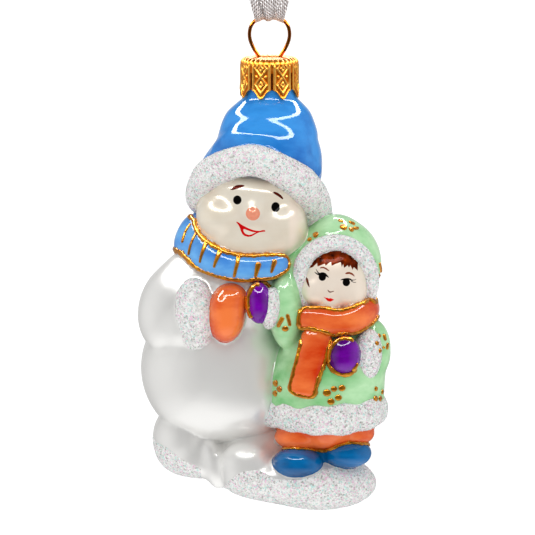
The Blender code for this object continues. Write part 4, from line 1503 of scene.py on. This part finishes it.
offs = np.linspace(-1.0, 1.0, PETAL_STEPS + 1)
columns = [cap_column(petal, off) for petal in range(PETALS) for off in offs]
rows = len(columns[0][0])
slit_row = int(np.argmax(columns[0][0][:, 2] < SLIT_TOP))
cap_faces = [
    face for face in grid_faces(len(columns), rows, rows_meet=True)
    if (face[0] // rows + 1) % (PETAL_STEPS + 1) or face[0] % rows < slit_row - 1
]
cap_points = np.concatenate([points for points, _ in columns])
stamped = np.concatenate([mark for _, mark in columns])

SHEET_THICKNESS = 0.3
brass = Finish("stamped_brass", metallic=0.93)
tarnish = brass.noise(700.0, 3.0)
# Painted highlight and shade: the stamped numbers make the raised lines and pleat crests pale and the
# hollows deep, with tarnish noise over them.
bright = (brass.zone("stamped") * 1.1 + tarnish * 0.6 - 0.3).clamped()
brass.set(
    base_color=brass.mix(bright, srgb(212, 104, 4), srgb(255, 200, 92)),
    roughness=0.28 + tarnish * 0.2,
)
cap = piece_from("crown_cap", cap_points, cap_faces, brass, {"stamped": stamped})
sheet = cap.modifiers.new("sheet", "SOLIDIFY")
sheet.thickness, sheet.offset = SHEET_THICKNESS * MM, -1.0
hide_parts("cap")

# %% [markdown]
# ## The spring wire
#
# A bent wire holds the cap on: its loop stands above the lid and its legs go down through the slot, where
# they spread inside the neck and press against the glass. It is a tube swept along half a drawn route and
# its mirror image.

# %% Spring wire
LOOP_HALF = [
    (0.0, 113.4), (1.9, 113.0), (3.4, 112.0), (4.3, 110.7), (4.6, 109.0), (4.35, 107.4), (3.6, 105.7),
    (2.9, 104.6), (2.35, 103.6), (2.1, 102.2), (2.4, 100.2), (3.2, 96.5), (3.9, 92.5),
]
WIRE_RADIUS = 0.42
half_loop = [(x, 0.0, z) for x, z in LOOP_HALF]
wire_route = smooth_path([(-x, y, z) for x, y, z in half_loop[:0:-1]] + half_loop, 8)
WIRE_SIDES = 16


def tube(route, radius, sides):
    """A round tube along a route in the XZ plane, closed at both ends."""
    way = np.gradient(route, axis=0)
    way /= np.linalg.norm(way, axis=1)[:, None]
    out = np.array([0.0, 1.0, 0.0])
    third = np.cross(way, out)
    rings = [route + radius * (cos(a) * out + sin(a) * third) for a in 2 * pi * np.arange(sides) / sides]
    faces = grid_faces(len(route), sides, ends_meet=True) + end_faces(len(route), sides)
    return np.stack(rings, 1).reshape(-1, 3), faces


wire_finish = Finish("brass_wire", metallic=1.0)
drawn = wire_finish.noise(500.0, 2.0)
wire_finish.set(
    base_color=wire_finish.mix(drawn, srgb(140, 68, 10), srgb(196, 112, 36)),
    roughness=0.12 + drawn * 0.1,
)
wire = piece_from("spring_wire", *tube(wire_route, WIRE_RADIUS, WIRE_SIDES), wire_finish)
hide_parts("hanger_wire")


# %% [markdown]
# ## The ribbon
#
# A thin silver ribbon hangs the ornament. It goes through the wire, and both ends meet in one overhand
# knot above, which leaves two short tails. The wire gathers the ribbon into pleats that fan out upwards,
# and a folded panel lies over the middle. It is a swept band, since a fabric this short and tightly held
# has one shape, and a simulation would only blur its pleats. The weave is two waves, one for the threads
# that run up the ribbon and one for those across it, and a warm tint low down is a painted reflection of
# the brass in the silver.

# %% Ribbon loop
RIBBON_BOTTOM, RIBBON_TOP = 112.3, 127.8
RIBBON_ACROSS, RIBBON_ROWS = 56, 48
RIBBON_HALVES = [(112.3, 3.15), (117.2, 4.6), (119.5, 4.85), (121.5, 4.75), (124.5, 4.0), (127.8, 2.7)]
RIBBON_FOLD = [
    (-1.0, -0.6), (-0.65, -0.1), (-0.4, 0.2), (-0.2, -0.25), (0.0, -0.2), (0.2, 0.1), (0.45, 0.1),
    (0.75, -0.35), (1.0, -0.65),
]


OPENING_HALF, PANEL_LIFT, PANEL_EDGE = 2.1, 0.3, 0.05
GATHERS = ((0.3, 9.5), (0.14, 23.0))


def panel_half(share):
    """Half width of the folded middle panel, as a share of the ribbon's; it widens upwards."""
    return 0.1 + 1.3 * share


def ribbon_point(turn, t):
    """Place on the loop: turn runs round it from the wire, and t runs across it from -1 to 1."""
    share = (1 - cos(turn)) / 2
    level = RIBBON_BOTTOM + (RIBBON_TOP - RIBBON_BOTTOM) * (1 - cos(pi * share)) / 2
    opening = OPENING_HALF * max(sin(pi * share), 0.0) ** 0.7
    face = -1.0 if turn < pi else 1.0
    (broad, slow), (fine, quick) = GATHERS
    gather = broad * (1 - share * 0.7) * sin(slow * t + 0.8 * face)
    gather += fine * (1 - share) * sin(quick * t + 2.0)
    on_panel = np.clip((panel_half(share) - abs(t)) / PANEL_EDGE, 0.0, 1.0)
    panel = PANEL_LIFT * on_panel * max(0.0, 1.0 - share * 1.6)
    half = np.interp(level, *np.array(RIBBON_HALVES).T)
    fold = max(0.0, 1.0 - share * 3.0) * np.interp(t, *np.array(RIBBON_FOLD).T)
    return t * half, face * (opening + panel) + gather, level + fold


def thread_number(share, t):
    """Threads lean in towards the wire at the sides and stand upright on the middle panel."""
    return abs(t) + 0.9 * share if abs(t) > panel_half(share) else t


turns = 2 * pi * np.arange(RIBBON_ROWS) / RIBBON_ROWS
ts = np.linspace(-1.0, 1.0, RIBBON_ACROSS + 1)
ribbon_points = [ribbon_point(turn, t) for turn in turns for t in ts]

# %% The weave
THREAD_TURNS, DASH_TURNS = 55.0, 150.0
woven = Finish("silver_ribbon", metallic=0.15)
threads, dashes = woven.zone("threads") * THREAD_TURNS, woven.zone("dashes") * DASH_TURNS
warp, weft = woven.wave(threads), woven.wave(dashes + threads * 0.5)
specks = woven.noise(2600.0, 2.0)
silver = (warp * 0.34 + weft * 0.3 + specks * 1.3 - 0.12).clamped()
fabric = woven.mix(silver, srgb(108, 90, 82), srgb(250, 246, 246))
woven.set(
    # A painted reflection of the brass wire warms the silver low down.
    base_color=woven.mix(woven.zone("glow") * 0.75, fabric, srgb(250, 206, 164)),
    roughness=0.5 - silver * 0.25,
    normal=woven.bump(warp * 0.5 + weft * 0.5 + specks, 0.0001),
)
shares = (1 - np.cos(turns)) / 2
numbers = {
    "threads": np.array([thread_number(share, t) for share in shares for t in ts]),
    "dashes": np.repeat(shares, len(ts)),
    "glow": np.repeat(np.clip(1.0 - shares * 6.0, 0.0, 1.0), len(ts)),
}
ribbon_faces = grid_faces(RIBBON_ROWS, len(ts), rows_meet=True)
band = piece_from("ribbon_loop", ribbon_points, ribbon_faces, woven, numbers)
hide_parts("ribbon")

# %% Knot and tails
KNOT_CENTRE, KNOT_RADII = np.array((0.0, 0.0, 129.9)), np.array((3.3, 2.6, 2.4))
KNOT_AROUND, KNOT_LEVELS = 64, 33
TAIL_ROWS, TAIL_ACROSS = 22, 20
TAIL_TIP = np.array((4.0, 0.6, 7.0))
TAIL_HALVES = (1.2, 3.1)
KNOT_SLANT, KNOT_WRAP_HALF = 0.55, 0.42
RIBBON_THICKNESS = 0.2


def knot_point(around, level):
    """A pulled knot: a padded ball with one turn of ribbon wrapped aslant over it."""
    way = np.array((cos(level) * cos(around), cos(level) * sin(around), sin(level)))
    slant = way[2] - KNOT_SLANT * way[0]
    wrap = 1.0 / (1.0 + (slant / KNOT_WRAP_HALF) ** 8)
    pleats = 0.035 * sin(26.0 * slant) * wrap + 0.05 * (1 - wrap) * sin(9.0 * around)
    return KNOT_CENTRE + KNOT_RADII * way * (0.84 + 0.14 * wrap + pleats)


def tail_point(side, share, t):
    """Place on a cut tail that springs out of the knot, with t across it from -1 to 1."""
    half = TAIL_HALVES[0] + (TAIL_HALVES[1] - TAIL_HALVES[0]) * share ** 0.8
    middle = KNOT_CENTRE + np.array((side, side, 1.0)) * TAIL_TIP * share
    ripple = 0.5 * (1 - 0.6 * share) * sin(7.0 * t + side) + 0.5 * share * sin(2.2 * t)
    slant = 0.9 * share ** 4 * t * side
    return middle + np.array((t * half, ripple, slant - side * t * half * 0.3))


levels = np.linspace(-pi / 2, pi / 2, KNOT_LEVELS)[1:-1]
arounds = 2 * pi * np.arange(KNOT_AROUND) / KNOT_AROUND
knot_points = [knot_point(a, level) for level in levels for a in arounds]
knot_points += [knot_point(0.0, -pi / 2), knot_point(0.0, pi / 2)]
knot_faces = grid_faces(len(levels), KNOT_AROUND, ends_meet=True)
poles, top_ring = (len(knot_points) - 2, len(knot_points) - 1), (len(levels) - 1) * KNOT_AROUND
knot_faces += [(poles[0], (k + 1) % KNOT_AROUND, k) for k in range(KNOT_AROUND)]
knot_faces += [(poles[1], top_ring + k, top_ring + (k + 1) % KNOT_AROUND) for k in range(KNOT_AROUND)]
knot_threads = np.array([(point[2] - KNOT_CENTRE[2]) / 5.0 - 0.1 * point[0] for point in knot_points])
knot = piece_from("ribbon_knot", knot_points, knot_faces, woven, {"threads": knot_threads})

tail_shares, tail_ts = np.linspace(0.0, 1.0, TAIL_ROWS), np.linspace(-1.0, 1.0, TAIL_ACROSS + 1)
tail_points, tail_faces = [], []
for side in (-1, 1):
    tail_faces += grid_faces(TAIL_ROWS, len(tail_ts), first=len(tail_points))
    tail_points += [tail_point(side, share, t) for share in tail_shares for t in tail_ts]
tail_threads = np.tile(tail_ts, 2 * TAIL_ROWS)
tails = piece_from("ribbon_tails", tail_points, tail_faces, woven, {"threads": tail_threads})

for strip in (band, tails):
    film = strip.modifiers.new("film", "SOLIDIFY")
    film.thickness, film.offset = RIBBON_THICKNESS * MM, 0.0


# %% [markdown]
# ## Floor, light and background
#
# Glossy things are shot inside a white tent, so nearly everything that the lacquer mirrors is pale. Here
# the tent is a bright world and a wide pale floor, well below the hanging ornament. A ring of small lamps
# above the ribbon shows in reflections alone, and puts bright arcs on the tops of the forms. One soft lamp
# above it does the reverse: it lights the paint and leaves no reflection.

# %% Floor and sky
FLOOR_DROP = 0.06
FLOOR_HALF = 6.0
SKY_STRENGTH, SKY_FALL = 0.98, 0.14
backdrop = Finish(
    "floor", base_color=srgb(252, 252, 252), roughness=0.9, specular_ior_level=0.1,
    emission_color=srgb(255, 255, 255), emission_strength=0.3,
)
floor_level = to_frame((0, 0, 0))[2] - FLOOR_DROP
bpy.ops.mesh.primitive_plane_add(size=2 * FLOOR_HALF, location=(0.0, 0.0, floor_level))
floor = bpy.context.object
floor.name = "floor"
floor.visible_diffuse = floor.visible_glossy = floor.visible_shadow = False
floor.data.materials.append(backdrop.material)

world = bpy.data.worlds.new("studio")
bpy.context.scene.world = world
world.use_nodes = True
sky = world.node_tree.nodes["Background"]
sky.inputs["Color"].default_value = (1.0, 1.0, 1.0, 1.0)
way = world.node_tree.nodes.new("ShaderNodeTexCoord").outputs["Generated"]
parts = world.node_tree.nodes.new("ShaderNodeSeparateXYZ")
world.node_tree.links.new(way, parts.inputs[0])
attach(sky.inputs["Strength"], SKY_STRENGTH - Flow(parts.outputs["Z"]) * SKY_FALL)
print("floor at", round(float(floor_level), 3), "m")

# %% Ring of lamps
RING_LAMPS = 40
RING_RADIUS = 0.076
RING_HEIGHT = 0.018
RING_BAND = 0.014
RING_POWER = 0.34
RING_AIM = Vector((0.0, 0.0, -0.05))
FILL_POWER, FILL_LIFT = 0.03, 0.02
for k in range(RING_LAMPS):
    turn = 2 * pi * k / RING_LAMPS
    lamp = bpy.data.lights.new("ring_lamp", "AREA")
    lamp.shape = "RECTANGLE"
    lamp.size, lamp.size_y = 2 * pi * RING_RADIUS / RING_LAMPS, RING_BAND
    lamp.energy = RING_POWER / RING_LAMPS
    holder = bpy.data.objects.new("ring_lamp", lamp)
    holder.location = (RING_RADIUS * cos(turn), RING_RADIUS * sin(turn), RING_HEIGHT)
    holder.rotation_euler = (RING_AIM - holder.location).to_track_quat("-Z", "Y").to_euler()
    holder.visible_camera = holder.visible_diffuse = False
    bpy.context.collection.objects.link(holder)

fill = bpy.data.lights.new("fill", "AREA")
fill.shape, fill.size, fill.energy = "DISK", 2 * RING_RADIUS, FILL_POWER
fill_holder = bpy.data.objects.new("fill", fill)
fill_holder.location = (0.0, 0.0, RING_HEIGHT + FILL_LIFT)
fill_holder.visible_camera = fill_holder.visible_glossy = False
bpy.context.collection.objects.link(fill_holder)
print("ring of", RING_LAMPS, "lamps")

# %% [markdown]
# The room beyond the tent's opening is darker, and glass shows that as a deeper tone in its middle. So a
# large thin bowl stands round the ornament, seen in reflections alone: dark in front, nearly clear at
# the back and clear at the bottom.

# %% The dark side of the tent
SCREEN_RADIUS, SCREEN_DROP = 0.34, 0.07
SCREEN_TURNS, SCREEN_LEVELS = 48, 24
DARK_SIDES, DARK_MIDDLE = 0.36, 0.6
BACK_FROM, BACK_CLEAR = 0.86, 0.95
EDGE_FADE = 5.0
screen_points = SCREEN_RADIUS * np.array([
    (sin(turn) * cos(rise), -cos(turn) * cos(rise), sin(rise))
    for rise in np.radians(np.linspace(-60.0, 88.0, SCREEN_LEVELS))
    for turn in np.radians(np.linspace(-178.0, 178.0, SCREEN_TURNS))
]) - (0.0, 0.0, SCREEN_DROP)
screen_mesh = bpy.data.meshes.new("dark_screen")
screen_mesh.from_pydata(screen_points.tolist(), [], grid_faces(SCREEN_LEVELS, SCREEN_TURNS))
screen_finish = Finish("dark_screen", base_color=srgb(24, 24, 26), roughness=1.0, specular_ior_level=0.0)
side, depth, level = screen_finish.axes(screen_finish.place("Generated"))
behind = ((depth - BACK_FROM) * EDGE_FADE).clamped()
dark = (side * (1.0 - side) * EDGE_FADE).clamped() * DARK_MIDDLE + DARK_SIDES
screen_finish.set(alpha=dark * (level * EDGE_FADE).clamped() * (1.0 - behind * BACK_CLEAR))
screen = bpy.data.objects.new("dark_screen", screen_mesh)
bpy.context.collection.objects.link(screen)
screen.visible_camera = screen.visible_diffuse = screen.visible_shadow = False
screen_mesh.materials.append(screen_finish.material)
print("screen:", len(screen_points), "vertices")

bpy.context.scene.view_settings.view_transform = "Standard"
